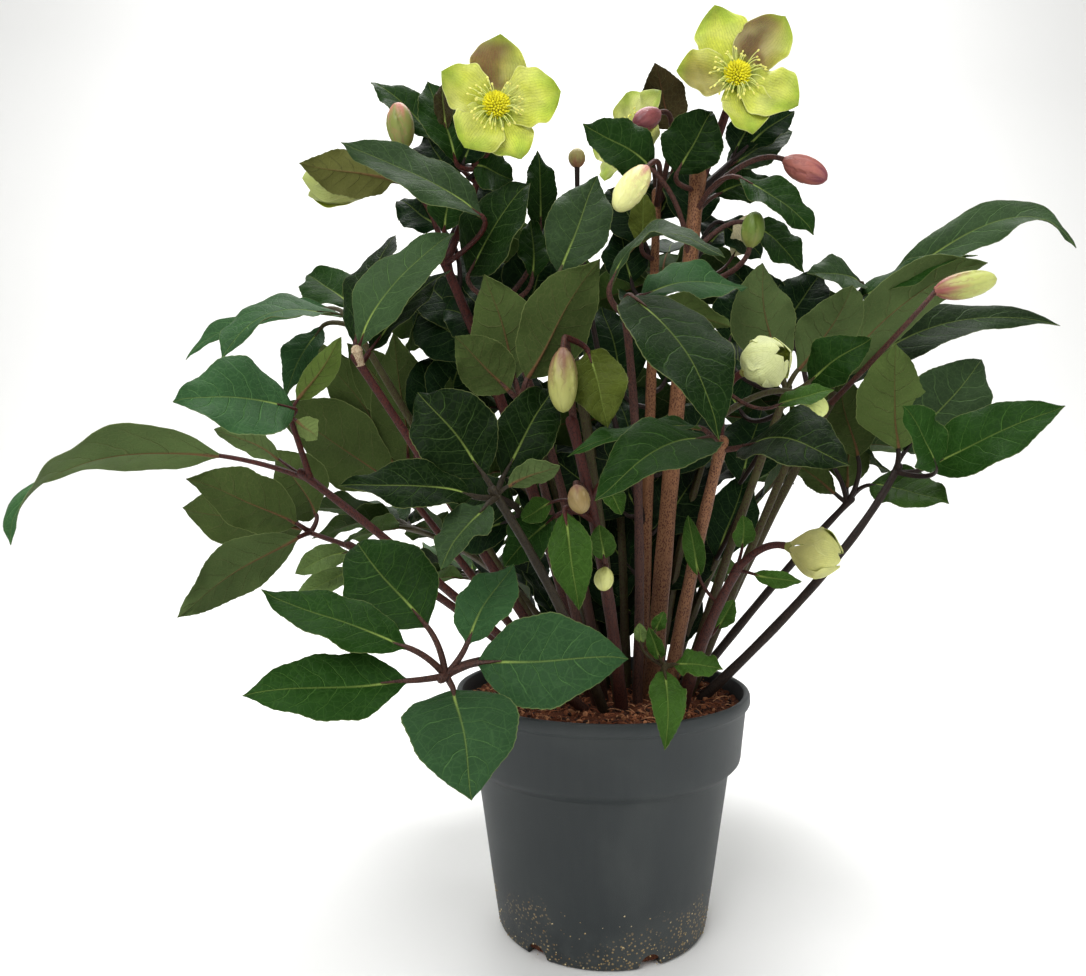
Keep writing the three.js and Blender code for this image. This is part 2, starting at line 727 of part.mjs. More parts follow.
/** Where a twig ends and where it comes from last: straight under its bud or flower. */
function twigEnd(twig) {
  if (twig.to) return { end: vec(twig.to), way: new THREE.Vector3() };
  if (twig.bud) {
    const way = vec(twig.bud.tip).sub(vec(twig.bud.base)).normalize();
    return { end: vec(twig.bud.base).addScaledVector(way, -BUD.gap), way };
  }
  const flower = FLOWERS.find(({ name }) => name === twig.flower);
  const way = heading(flower.face);
  const seat = SEPAL_SEAT + flower.form.receptacle + GAP;
  return { end: vec(flower.centre).addScaledVector(way, -seat), way };
}

/** The curve of a twig from a point on its stem. */
function twigCurve(twig, spring) {
  const { end, way } = twigEnd(twig);
  const run = end.distanceTo(spring) * STEM.straight;
  const via = twig.via ? vec(twig.via) : end.clone().addScaledVector(way, -run);
  if (twig.to) via.lerp(spring, 0.5);
  return new THREE.QuadraticBezierCurve3(spring, via, end);
}

// ---------------------------------------------------------------- blades

/** Share of a blade's full width at a share of its length: a low power makes a blunt end. */
function outline(basePower, tipPower) {
  const total = basePower + tipPower;
  const widest = (basePower / total) ** basePower * (tipPower / total) ** tipPower;
  return (along) => (along ** basePower * (1 - along) ** tipPower) / widest;
}

const leafletShare = outline(0.8, 1.05); // widest near the base, drawn out to a point
const sepalShare = outline(0.85, 0.45); // narrow base, broad rounded end

const WAVE_TURN = 2.4; // how far the edge's wave is shifted from one blade to the next

/** A flat four-cornered section: two edges, and the rib above and below. */
function diamond(centre, tangent, face, half, thick, lift, wave) {
  const normal = squareTo(face, tangent);
  const side = tangent.clone().normalize().cross(normal);
  const at = (sideways, upward) =>
    centre.clone().addScaledVector(side, sideways).addScaledVector(normal, upward);
  return [at(-half, lift + wave), at(0, thick), at(half, lift - wave), at(0, -thick)];
}

/** Where a blade looks, from a direction or from an azimuth and an elevation. */
const lookOf = (face) => (face.isVector3 ? face.clone() : heading(face));

/** A stalk from where it springs, then an arched, waved blade with a rib, to a pointed tip. */
function makeBlade(row, spring, form, share, seed) {
  const [base, tip] = [vec(row.base), vec(row.tip)];
  const chord = tip.clone().sub(base);
  const up = squareTo(lookOf(row.face), chord);
  const arch = (row.arch ?? form.arch) * chord.length();
  const middle = row.via ? vec(row.via) : base.clone().lerp(tip, 0.5).addScaledVector(up, arch);
  const control = middle.multiplyScalar(2).addScaledVector(base.clone().add(tip), -0.5);
  const midrib = new THREE.QuadraticBezierCurve3(base, control, tip);
  const stalk = (centre, way, half) => diamond(centre, way, up, half, half, 0, 0);
  const rings = [
    stalk(spring, base.clone().sub(spring), form.root),
    stalk(base, control.clone().sub(base), form.stalk),
  ];
  for (const along of form.stations) {
    const half = (share(along) * row.wide) / 2;
    const face = lookOf(row.face).lerp(lookOf(row.turn ?? row.face), along);
    const wave = form.wave * Math.sin(along * form.ripple + seed * WAVE_TURN);
    const [centre, way] = [midrib.getPoint(along), midrib.getTangent(along)];
    rings.push(diamond(centre, way, face, half, form.thick / 2, form.fold * half, wave));
  }
  rings.push([tip]);
  return loft(rings);
}

// ---------------------------------------------------------------- leaves and shoots

/** A leaf or a leafy shoot: stem, twigs and leaflets in one solid. */
function makeLeafy(row, index) {
  const { stem, hole, curve } = makeStem(row, row.radius ?? STEM.petiole);
  const curves = [curve];
  const springOf = ({ on = 0, at = STEM.top }) => curves[on].getPoint(at);
  const parts = [stem];
  for (const twig of row.twigs ?? []) {
    const path = twigCurve(twig, springOf(twig));
    curves.push(path);
    parts.push(loft(curveRings(path, twig.radius ?? STEM.twig, STEM.twigSteps)));
  }
  row.leaflets.forEach((leaflet, i) => {
    const form = leaflet.wide < PLAIN_LEAFLET.under ? PLAIN_LEAFLET : row.form ?? LEAFLET;
    parts.push(makeBlade(leaflet, springOf(leaflet), form, leafletShare, index * 7 + i));
  });
  return { mesh: meshOf(row.name, parts, FINISH.leaf), hole };
}

/** A leaf of the back, from its cell: leaflets fanned round the way it leans out. */
function backLeaf([azimuth, reach, height, slope], index) {
  const out = heading([azimuth, 0]);
  const axis = new THREE.Vector3(CROWN.x, CROWN.y, height);
  const hub = axis.clone().addScaledVector(out, reach);
  const bend = axis.clone().addScaledVector(out, reach * BACK_BEND.out);
  bend.z = THREE.MathUtils.lerp(SOIL.level, height, BACK_BEND.up);
  const lean = heading([azimuth, slope]);
  const side = out.clone().cross(new THREE.Vector3(0, 0, 1)).normalize();
  const leaflets = BACK_FAN.angles.map((angle, i) => {
    const length = BACK_FAN.lengths[i];
    const way = lean.clone().multiplyScalar(Math.cos(radians(angle)));
    way.addScaledVector(side, Math.sin(radians(angle)));
    const base = hub.clone().addScaledVector(way, BACK_FAN.gap);
    const tip = base.clone().addScaledVector(way, length);
    tip.z -= length * THREE.MathUtils.lerp(...BACK_FAN.droop, chance(index * 5 + i));
    const face = [azimuth + angle * BACK_FAN.twist, 90 - slope];
    return { base: base.toArray(), tip: tip.toArray(), wide: BACK_FAN.wide, face, arch: BACK_FAN.arch };
  });
  const name = `leaf_back_${String(index + 1).padStart(2, '0')}`;
  return { name, bend: bend.toArray(), hub: hub.toArray(), leaflets, form: PLAIN_LEAFLET };
}

// ---------------------------------------------------------------- flowers and buds

/** Places a point in a flower's own frame: angle and distance from its axis, and forward. */
function flowerFrame(row) {
  const front = heading(row.face);
  const right = squareTo(new THREE.Vector3(1, 0, 0), front);
  const up = front.clone().cross(right);
  return (angle, out, forward) =>
    vec(row.centre)
      .addScaledVector(right, Math.cos(radians(angle)) * out)
      .addScaledVector(up, Math.sin(radians(angle)) * out)
      .addScaledVector(front, forward);
}

/** The sepals of a flower on their receptacle. */
function makeSepals(row) {
  const { middle, tip, wide, lift, receptacle } = row.form;
  const at = flowerFrame(row);
  const parts = [knob(at(0, 0, -SEPAL_SEAT), receptacle, heading(row.face))];
  row.sepals.forEach(([angle, reach], i) => {
    const rise = SEPAL_STEPS[i] * lift;
    const blade = {
      base: at(angle, SEPAL_FOOT.out, rise - SEPAL_FOOT.back).toArray(),
      via: at(angle, middle[0] * reach, middle[1] * reach + rise).toArray(),
      tip: at(angle, tip[0] * reach, tip[1] * reach + rise).toArray(),
      wide: wide * reach,
      face: row.form.stamens ? row.face : at(0, 0, SEPAL_TILT).sub(at(angle, 1, 0)),
    };
    parts.push(makeBlade(blade, at(angle, SEPAL_FOOT.back, -SEPAL_SEAT), SEPAL, sepalShare, i));
  });
  return meshOf(`${row.name}_sepals`, parts, FINISH.sepal);
}

/** The middle of an open flower: a dome of carpels with rings of stamens. */
function makeStamens(row) {
  const at = flowerFrame(row);
  const seat = row.form.receptacle - SEPAL_SEAT + STAMENS.seat;
  const ring = (out, forward) => {
    const points = [];
    for (let i = 0; i < STAMENS.domeSides; i += 1) {
      points.push(at((360 * i) / STAMENS.domeSides, out, forward));
    }
    return points;
  };
  const bottom = ring(STAMENS.dome - 1, seat);
  const waist = ring(STAMENS.dome, seat + STAMENS.domeHeight / 2);
  const parts = [loft([bottom, waist, [at(0, 0, seat + STAMENS.domeHeight)]])];
  STAMENS.rings.forEach(([count, out, forward], k) => {
    for (let i = 0; i < count; i += 1) {
      const angle = (360 * (i + k / 2)) / count;
      const foot = [0, 120, 240].map((turn) => {
        const inside = at(angle, STAMENS.foot[0], seat + STAMENS.foot[1]);
        const offset = at(turn, STAMENS.radius, 0).sub(at(0, 0, 0));
        return inside.add(offset);
      });
      parts.push(loft([foot, [at(angle, out, forward)]]));
    }
  });
  return meshOf(`${row.name}_stamens`, parts, FINISH.stamen);
}

/** A closed bud that swells and comes to a blunt point. */
function makeBud({ name, base: foot, tip, wide }) {
  const base = vec(foot);
  const way = vec(tip).sub(base).normalize();
  const axis = way.clone().cross(ASKEW);
  const at = (along) => base.clone().lerp(vec(tip), along);
  const section = (along, share) => {
    const side = squareTo(axis, way);
    const other = way.clone().cross(side);
    const ring = [];
    for (let j = 0; j < BUD.sides; j += 1) {
      const angle = (2 * Math.PI * j) / BUD.sides;
      const point = at(along).addScaledVector(side, (Math.cos(angle) * share * wide) / 2);
      ring.push(point.addScaledVector(other, (Math.sin(angle) * share * wide) / 2));
    }
    return ring;
  };
  const rings = BUD.stations.map((along, i) => section(along, BUD.swell[i]));
  return meshOf(name, [loft([section(0, BUD.neck), ...rings, [vec(tip)]])], FINISH.bud);
}

// ---------------------------------------------------------------- the plant

const plant = new THREE.Group();
plant.name = 'hellebore_plant';
const holes = [];
[...LEAVES, ...BACK_LEAVES.map(backLeaf), ...SHOOTS].forEach((row, i) => {
  const { mesh, hole } = makeLeafy(row, i);
  plant.add(mesh);
  holes.push(hole);
  for (const twig of row.twigs ?? []) {
    if (twig.bud) plant.add(makeBud(twig.bud));
  }
});
for (const flower of FLOWERS) {
  plant.add(makeSepals(flower));
  if (flower.form.stamens) plant.add(makeStamens(flower));
}
plant.add(makePot());
plant.add(makeSoil(holes));

export default plant;
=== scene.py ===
"""Dresses a potted hellebore: fingered leaves, flowering shoots, cup flowers, buds, pot and soil.

The tables give places in millimetres; everything that is made of them is in metres.
"""

import logging
import math
from dataclasses import dataclass, field, replace
from enum import Enum
from functools import cache
from typing import TypeVar

import bpy
import numpy as np
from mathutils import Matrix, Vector


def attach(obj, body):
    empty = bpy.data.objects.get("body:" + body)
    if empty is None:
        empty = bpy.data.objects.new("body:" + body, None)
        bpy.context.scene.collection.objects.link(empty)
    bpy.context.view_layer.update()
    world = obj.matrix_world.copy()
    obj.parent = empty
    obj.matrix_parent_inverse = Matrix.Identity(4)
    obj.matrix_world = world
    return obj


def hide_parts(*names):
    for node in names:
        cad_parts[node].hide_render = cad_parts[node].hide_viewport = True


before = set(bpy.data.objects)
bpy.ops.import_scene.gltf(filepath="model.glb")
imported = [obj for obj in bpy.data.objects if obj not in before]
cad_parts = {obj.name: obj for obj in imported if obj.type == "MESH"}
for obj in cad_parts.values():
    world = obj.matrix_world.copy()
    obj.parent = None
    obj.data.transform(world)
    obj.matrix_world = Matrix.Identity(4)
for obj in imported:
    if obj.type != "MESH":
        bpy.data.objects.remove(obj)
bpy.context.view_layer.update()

Array = np.ndarray
Object = bpy.types.Object
Material = bpy.types.Material
Pair = tuple[float, float]
Point = tuple[float, float, float]
Colour = tuple[float, float, float]
Choice = TypeVar("Choice")

MM = 0.001
BODY = "root"
TINY = 1e-6
SPIRAL = 137.508  # degrees from each anther of a head to the next
UNREAD: Point = (0.0, 0.0, 0.0)  # a note that its finish doesn't read
LOG = logging.getLogger("hellebore")


# ---- numbers and colours


def rgb(red: float, green: float, blue: float) -> Colour:
    """Linear colour of a display colour whose parts run from 0 to 255."""
    return tuple(((c / 255 + 0.055) / 1.055) ** 2.4 if c > 10 else c / 3295 for c in (red, green, blue))


def chance(seed: float) -> float:
    """Repeatable number from 0 to 1 for a seed."""
    return math.sin(seed * 127.1 + 11.7) * 43758.5453 % 1.0


def pick(choices: tuple[Choice, ...], seed: float) -> Choice:
    """One of the choices, by chance."""
    return choices[int(chance(seed) * len(choices))]


def unit(vectors: Array) -> Array:
    """The vectors at length 1."""
    return vectors / np.linalg.norm(vectors, axis=-1, keepdims=True)


def heading(azimuth: float, elevation: float) -> Array:
    """Direction from an azimuth (from the front towards +X) and an elevation, in degrees."""
    turn, rise = math.radians(azimuth), math.radians(elevation)
    return np.array((math.sin(turn) * math.cos(rise), -math.cos(turn) * math.cos(rise), math.sin(rise)))


def square_to(vectors: Array, axes: Array) -> Array:
    """The part of each vector that is square to its axis, at length 1."""
    along = unit(axes)
    return unit(vectors - (vectors * along).sum(-1, keepdims=True) * along)


def between(first: Array | float, second: Array | float, share: Array | float) -> Array | float:
    """What lies at a share of the way from the first to the second."""
    return first + (second - first) * share


def ring(radius: float, height: float, sides: int) -> Array:
    """Points of a level ring round the pot's axis, from the front towards +X."""
    turns = np.arange(sides) * 2 * math.pi / sides
    return np.stack((radius * np.sin(turns), -radius * np.cos(turns), np.full(sides, height)), -1)


def smooth(value: Array, low: float, high: float) -> Array:
    """Soft step from 0 at low to 1 at high."""
    share = np.clip((value - low) / (high - low), 0, 1)
    return share * share * (3 - 2 * share)


def ripple(along: Array, across: Array, seed: float) -> Array:
    """Soft irregular relief from -1 to 1 over a surface.

    Args:
        along: share of the surface's length.
        across: share of its half width.
        seed: sets it apart from others.

    Returns:
        The relief.
    """
    turn = seed * 1.7
    first = np.sin(along * 9 + across * 3 + turn)
    second = np.sin(along * 17 - across * 6 + turn * 2.3)
    return 0.6 * first + 0.4 * second


@dataclass(frozen=True)
class Bend:
    """A curve from one point to another, pulled towards a third, in millimetres."""

    start: Array
    pull: Array
    end: Array

    def point(self, share: Array | float) -> Array:
        """Point at a share of the curve."""
        t = np.asarray(share, float)[..., None]
        return (1 - t) ** 2 * self.start + 2 * t * (1 - t) * self.pull + t * t * self.end

    def tangent(self, share: Array | float) -> Array:
        """Direction of the curve at a share of it."""
        t = np.asarray(share, float)[..., None]
        return (1 - t) * (self.pull - self.start) + t * (self.end - self.pull)


# ---- shader expressions


class Value:
    """A socket of a material's nodes that can stand in a sum."""

    def __init__(self, nodes: "Nodes", socket: bpy.types.NodeSocket) -> None:
        """Wraps an output socket of a node tree."""
        self.nodes = nodes
        self.socket = socket

    def _maths(self, operation: str, *terms: "Value | float") -> "Value":
        """One Math node on the terms."""
        return self.nodes.make("ShaderNodeMath", {"operation": operation}, dict(enumerate(terms)))

    def __add__(self, other: "Value | float") -> "Value":
        """Sum."""
        return self._maths("ADD", self, other)

    def __sub__(self, other: "Value | float") -> "Value":
        """Difference."""
        return self._maths("SUBTRACT", self, other)

    def __rsub__(self, other: float) -> "Value":
        """Difference from a number."""
        return self._maths("SUBTRACT", other, self)

    def __mul__(self, other: "Value | float") -> "Value":
        """Product."""
        return self._maths("MULTIPLY", self, other)

    def __truediv__(self, other: "Value | float") -> "Value":
        """Quotient."""
        return self._maths("DIVIDE", self, other)

    def __pow__(self, other: float) -> "Value":
        """Power."""
        return self._maths("POWER", self, other)

    def __abs__(self) -> "Value":
        """Size without sign."""
        return self._maths("ABSOLUTE", self)

    __radd__ = __add__
    __rmul__ = __mul__

    def fraction(self) -> "Value":
        """What is left over the last whole number."""
        return self._maths("FRACT", self)

    def above(self, edge: float) -> "Value":
        """1 where it is greater than the edge, otherwise 0."""
        return self._maths("GREATER_THAN", self, edge)

    def larger(self, other: "Value | float") -> "Value":
        """The larger of the two."""
        return self._maths("MAXIMUM", self, other)

    def step(self, low: float, high: float) -> "Value":
        """Soft step, which may also fall.

        Args:
            low: where it is 0.
            high: where it is 1.

        Returns:
            The step.
        """
        settings = {"interpolation_type": "SMOOTHSTEP"}
        if low < high:
            return self.nodes.make("ShaderNodeMapRange", settings, {0: self, 1: low, 2: high})
        return 1 - self.nodes.make("ShaderNodeMapRange", settings, {0: self, 1: high, 2: low})


class Nodes:
    """The node tree of one material, with one Principled shader at its end."""

    def __init__(self, name: str) -> None:
        """Starts a material.

        Args:
            name: the material's name.
        """
        self.material = bpy.data.materials.new(name)
        self.material.use_nodes = True
        self.tree = self.material.node_tree
        self.shader = self.tree.nodes["Principled BSDF"]

    def make(self, kind: str, settings: dict, inputs: dict, output: int | str = 0) -> Value:
        """Adds a node.

        Args:
            kind: the node's type.
            settings: its properties, set first; color_ramp takes a list of stops.
            inputs: what each socket gets: a number, a colour, or a Value to link.
            output: which output to hand back.

        Returns:
            The wanted output.
        """
        node = self.tree.nodes.new(kind)
        for key, setting in settings.items():
            if key == "color_ramp":
                self._stops(node.color_ramp, setting)
            else:
                setattr(node, key, setting)
        for key, given in inputs.items():
            socket = node.inputs[key]
            if isinstance(given, Value):
                self.tree.links.new(given.socket, socket)
            elif isinstance(given, tuple) and socket.type == "RGBA":
                socket.default_value = (*given, 1.0)
            else:
                socket.default_value = given
        return Value(self, node.outputs[output])

    @staticmethod
    def _stops(ramp: bpy.types.ColorRamp, stops: list[tuple[float, Colour]]) -> None:
        """Gives a ramp its stops.

        Args:
            ramp: the ramp.
            stops: place and colour of each.
        """
        while len(ramp.elements) < len(stops):
            ramp.elements.new(1.0)
        for element, (place, colour) in zip(ramp.elements, stops):
            element.position = place
            element.color = (*colour, 1.0)

    def mix(self, share: Value | float, first: Value | Colour, second: Value | Colour) -> Value:
        """Colour between two colours."""
        return self.make("ShaderNodeMix", {"data_type": "RGBA"}, {0: share, 6: first, 7: second}, 2)

    def tinted(self, colour: Value | Colour, amount: Value | float) -> Value:
        """A colour made darker or lighter by a grey amount."""
        return self.make("ShaderNodeVectorMath", {"operation": "SCALE"}, {0: colour, "Scale": amount})

    def read(self, name: str, output: str = "Vector") -> Value:
        """A note that the mesh carries."""
        return self.make("ShaderNodeAttribute", {"attribute_name": name}, {}, output)

    def parts(self, vector: Value) -> tuple[Value, Value, Value]:
        """The three parts of a vector.

        Args:
            vector: the vector.

        Returns:
            X, Y and Z.
        """
        first = self.make("ShaderNodeSeparateXYZ", {}, {0: vector})
        outputs = first.socket.node.outputs
        return tuple(Value(self, outputs[i]) for i in range(3))

    def place(self) -> Value:
        """The point on the piece, in metres."""
        return self.make("ShaderNodeTexCoord", {}, {}, "Object")

    def stretched(self, vector: Value, scale: Point) -> Value:
        """A vector whose three parts are scaled."""
        return self.make("ShaderNodeMapping", {}, {"Vector": vector, "Scale": scale})

    def cloud(self, vector: Value, scale: float, detail: float = 2.0, distortion: float = 0.0) -> Value:
        """Soft irregular numbers from about 0.25 to 0.75."""
        inputs = {"Vector": vector, "Scale": scale, "Detail": detail, "Distortion": distortion}
        return self.make("ShaderNodeTexNoise", {}, inputs)

    def cells(self, vector: Value, scale: float, feature: str = "F1", output: str = "Distance") -> Value:
        """Distance in irregular cells, from their middle or to their edge."""
        inputs = {"Vector": vector, "Scale": scale}
        return self.make("ShaderNodeTexVoronoi", {"feature": feature}, inputs, output)

    def finish(self, colour: Value, roughness: Value | float, height: Value | None = None,
               relief: float = 0.0, **constants: float | tuple) -> Material:
        """Feeds the shader.

        Args:
            colour: base colour.
            roughness: from 0, shiny, to 1, dull.
            height: relief that the light shows, if any.
            relief: depth of that relief, in metres.
            **constants: other sockets that are the same all over, with _ for spaces.

        Returns:
            The material.
        """
        sockets = self.shader.inputs
        self.tree.links.new(colour.socket, sockets["Base Color"])
        if isinstance(roughness, Value):
            self.tree.links.new(roughness.socket, sockets["Roughness"])
        else:
            sockets["Roughness"].default_value = roughness
        if height is not None:
            bump = self.make("ShaderNodeBump", {}, {"Height": height, "Distance": relief, "Strength": 1.0})
            self.tree.links.new(bump.socket, sockets["Normal"])
        for key, constant in constants.items():
            sockets[key.replace("_", " ")].default_value = constant
        return self.material


# ---- finishes


@dataclass(frozen=True)
class SideVeins:
    """The side veins of a blade, which its mesh quilts and its finish draws."""

    count: float = 7.0
    slant: float = 0.2
    bow: float = 1.35
    shift: float = 0.42

    def order(self, along: Array | Value, width: Array | Value, right: Array | Value) -> Array | Value:
        """Numbers the veins from the base up, so that those of the two sides alternate.

        Args:
            along: share of the blade's length.
            width: share of its half width, without sign.
            right: 1 on one side of the midrib and 0 on the other.

        Returns:
            The number at each point, which is whole on a vein.
        """
        return (along - width ** self.bow * self.slant) * self.count + right * self.shift


FINE_RELIEF = 0.0003  # depth in metres of the marks on stems and flowers


def flesh(weight: float) -> dict[str, float | tuple]:
    """Shader constants of thin waxy flesh that light shines into."""
    return {"Subsurface_Weight": weight, "Subsurface_Radius": (1.0, 1.0, 0.35), "Subsurface_Scale": 0.003}


@dataclass(frozen=True)
class LeafFinish:
    """Leathery leaf: upper side with a pale vein net, matte underside, thin pale margin.

    A value that ends in shown says how strongly a mark covers the ground. The veins of the upper side take
    their colour partly from the blade, lit several times over.
    """

    vein: Colour = rgb(112, 142, 78)
    rib: Colour = rgb(152, 174, 88)
    under_vein: Colour = rgb(112, 112, 72)
    under_rib: Colour = rgb(104, 66, 48)
    margin: Colour = rgb(140, 150, 92)
    side_veins: SideVeins = SideVeins()
    veins_shown: float = 0.52
    veins_fixed: float = 0.35
    veins_lit: float = 3.8
    net_scale: float = 0.26
    net_shown: float = 0.08
    loop_scale: float = 0.105
    loops_shown: float = 0.13
    margin_shown: float = 0.36
    relief: float = 0.00055

    def material(self) -> Material:
        """Makes the material.

        Returns:
            The material.
        """
        n = Nodes("leaf")
        along, across, side = n.parts(n.read("blade"))
        flat = n.read("flat")
        _, off_rib, _ = n.parts(flat)
        width = abs(across)
        wobble = n.cloud(flat, 0.09, 1.0) - 0.5
        order = self.side_veins.order(along, width, across.above(0.0)) + wobble * 0.55
        lateral = (abs(order.fraction() - 0.5)).step(0.45, 0.5) * width.step(1.05, 0.35)
        half = 1.1 - along * 0.8
        rib = (abs(off_rib) / half).step(1.0, 0.25)
        net = n.cells(flat, self.net_scale, "DISTANCE_TO_EDGE").step(0.10, 0.0)
        loops = n.cells(flat, self.loop_scale, "DISTANCE_TO_EDGE").step(0.04, 0.0)
        blotch = n.cloud(flat, 0.035, 3.0)
        grain = n.cloud(flat, 0.9, 3.0)

        painted = n.read("upper", "Color")
        upper = n.tinted(painted, blotch + grain * 0.35 + 0.38)
        vein = n.mix(self.veins_fixed, n.tinted(painted, self.veins_lit), self.vein)
        drawn = (net * self.net_shown + lateral * self.veins_shown).larger(loops * self.loops_shown)
        upper = n.mix(drawn, upper, vein)
        upper = n.mix(rib * (along.step(0.4, 0.02) * 0.62 + 0.2), upper, self.rib)
        under = n.tinted(n.read("under", "Color"), blotch * 0.7 + grain * 0.4 + 0.45)
        under = n.mix(net * self.net_shown + lateral * 0.22, under, self.under_vein)
        under = n.mix(rib * (0.75 - along * 0.7).larger(0.1), under, self.under_rib)
        colour = n.mix(side, upper, under)
        colour = n.mix(width.step(0.972, 0.995) * self.margin_shown, colour, self.margin)

        sunk = lateral * 0.8 + net * 0.2 + rib * 0.6
        height = sunk * (side * 2 - 1) + grain * 0.35
        roughness = 0.36 + grain * 0.22 + side * 0.25
        return n.finish(colour, roughness, height, self.relief, Specular_IOR_Level=0.05)


@dataclass(frozen=True)
class SepalFinish:
    """Soft waxy sepal with fine veins that fan out from its base."""

    vein_count: float = 10.0
    vein: Colour = rgb(112, 128, 34)
    veins_shown: float = 0.22
    net_shown: float = 0.12
    tip_shown: float = 0.3
    pale: Colour = rgb(214, 214, 150)
    patch_shown: float = 0.26
    margin_shown: float = 0.45

    def material(self) -> Material:
        """Makes the material.

        Returns:
            The material.
        """
        n = Nodes("sepal")
        along, across, side = n.parts(n.read("blade"))
        flat = n.read("flat")
        wobble = n.cloud(flat, 0.12) - 0.5
        order = across * self.vein_count + wobble * 2.2
        vein = abs(order.fraction() - 0.5).step(0.34, 0.5) * along.step(0.02, 0.3)
        net = n.cells(flat, 0.35, "DISTANCE_TO_EDGE").step(0.09, 0.0)
        blotch = n.cloud(flat, 0.07, 3.0)
        inner = n.tinted(n.read("upper", "Color"), blotch * 1.5 + n.cloud(flat, 0.9, 3.0) * 0.5 - 0.02)
        patch = n.cloud(flat, 0.05).step(0.42, 0.66) * along.step(1.0, 0.5)
        inner = n.mix(patch * self.patch_shown, inner, self.pale)
        inner = n.mix(along.step(0.7, 1.0) * self.tip_shown, inner, self.vein)
        outer = n.tinted(n.read("under", "Color"), blotch * 0.7 + 0.66)
        colour = n.mix(side, inner, outer)
        colour = n.mix(vein * self.veins_shown + net * self.net_shown, colour, self.vein)
        colour = n.mix(abs(across).step(0.95, 0.99) * self.margin_shown, colour, self.pale)
        height = vein * -0.5 + net * -0.2 + n.cloud(flat, 0.5) * 0.5
        roughness = 0.5 + blotch * 0.12
        return n.finish(colour, roughness, height, FINE_RELIEF, Specular_IOR_Level=0.3, **flesh(0.18))


@dataclass(frozen=True)
class StemFinish:
    """Stem skin with dark speckles that are drawn out upwards."""

    speckle_scale: float = 1250.0
    speckles_shown: float = 0.8

    def material(self) -> Material:
        """Makes the material.

        Returns:
            The material.
        """
        n = Nodes("stem")
        place = n.place()
        drawn = n.stretched(place, (1.0, 1.0, 0.55))
        crowded = n.cloud(place, 60.0).step(0.22, 0.42)
        speckle = n.cells(drawn, self.speckle_scale).step(0.56, 0.3) * crowded
        streak = n.cloud(n.stretched(place, (1.0, 1.0, 0.08)), 420.0, 2.0)
        ground = n.tinted(n.read("upper", "Color"), streak * 0.9 + 0.55)
        colour = n.mix(speckle * self.speckles_shown, ground, n.read("under", "Color"))
        height = streak * 0.6 + speckle * 0.25
        return n.finish(colour, 0.42 + streak * 0.25, height, FINE_RELIEF, Specular_IOR_Level=0.22)


@dataclass(frozen=True)
class BloomFinish:
    """Plain waxy flesh that takes its colour from its mesh: buds, stamens and nectaries."""

    name: str
    streaks: float
    roughness: float = 0.45
    mottle: float = 0.3

    def material(self) -> Material:
        """Makes the material.

        Returns:
            The material.
        """
        n = Nodes(self.name)
        along, around, _ = n.parts(n.read("blade"))
        flat = n.read("flat")
        wobble = n.cloud(flat, 0.25)
        vein = abs((around * self.streaks + wobble * 1.6).fraction() - 0.5).step(0.3, 0.5)
        blotch = n.cloud(flat, 0.16, 3.0).step(0.45, 0.75)
        streak = blotch * 0.3 + vein * self.mottle
        colour = n.mix(streak * along.step(1.0, 0.3), n.read("upper", "Color"), n.read("under", "Color"))
        height = wobble * 0.5 - vein * 0.4
        return n.finish(colour, self.roughness, height, FINE_RELIEF, Specular_IOR_Level=0.35, **flesh(0.15))


@dataclass(frozen=True)
class PotFinish:
    """Matte dark grey moulded plastic: faint vertical streaks, dust, and sand near the foot."""

    plastic: Colour = rgb(34, 40, 42)
    dust: Colour = rgb(74, 78, 76)
    dust_shown: float = 0.34
    film_shown: float = 0.35
    sand: Colour = rgb(150, 128, 88)
    sand_shown: float = 0.85
    sand_top: float = 0.042

    def material(self) -> Material:
        """Makes the material.

        Returns:
            The material.
        """
        n = Nodes("pot")
        place = n.place()
        _, _, height = n.parts(place)
        haze = n.cloud(place, 11.0, 4.0, 0.4)
        streak = n.cloud(n.stretched(place, (1.0, 1.0, 0.05)), 180.0, 2.0)
        grain = n.cloud(place, 2400.0)
        colour = n.mix(haze.step(0.44, 0.72) * self.dust_shown + streak * 0.12, self.plastic, self.dust)
        colour = n.tinted(colour, 0.82 + grain * 0.35)
        drift = n.cloud(place, 26.0, 3.0) * 0.9 + height * -9.0
        speck = n.cells(place, 420.0).step(0.36, 0.2) * drift.step(0.2, 0.42)
        film = height.step(self.sand_top, 0.0) * n.cloud(place, 90.0, 4.0).step(0.45, 0.75)
        colour = n.mix(film * self.film_shown, colour, self.dust)
        colour = n.mix(speck * self.sand_shown, colour, self.sand)
        relief = grain * 0.5 + streak * 0.25 + speck * 0.8
        return n.finish(colour, 0.46 + haze * 0.2, relief, 0.00022, Specular_IOR_Level=0.4)


@dataclass(frozen=True)
class SoilFinish:
    """Damp peat and coir: reddish brown to near black, by crumb."""

    dark: Colour = rgb(44, 24, 16)
    brown: Colour = rgb(104, 58, 36)
    pale: Colour = rgb(150, 98, 66)

    def material(self) -> Material:
        """Makes the material.

        Returns:
            The material.
        """
        n = Nodes("soil")
        place = n.place()
        crumb = n.cells(place, 620.0, "F1", "Color")
        shade, _, _ = n.parts(crumb)
        lump = n.cloud(place, 160.0, 5.0)
        stops = [(0.0, self.dark), (0.5, self.brown), (0.82, self.brown), (1.0, self.pale)]
        colour = n.make("ShaderNodeValToRGB", {"color_ramp": stops}, {0: shade * 0.75 + lump * 0.45 - 0.12})
        height = n.cells(place, 620.0) * -0.8 + lump
        return n.finish(colour, 0.88 + shade * 0.1, height, 0.0016, Specular_IOR_Level=0.25)


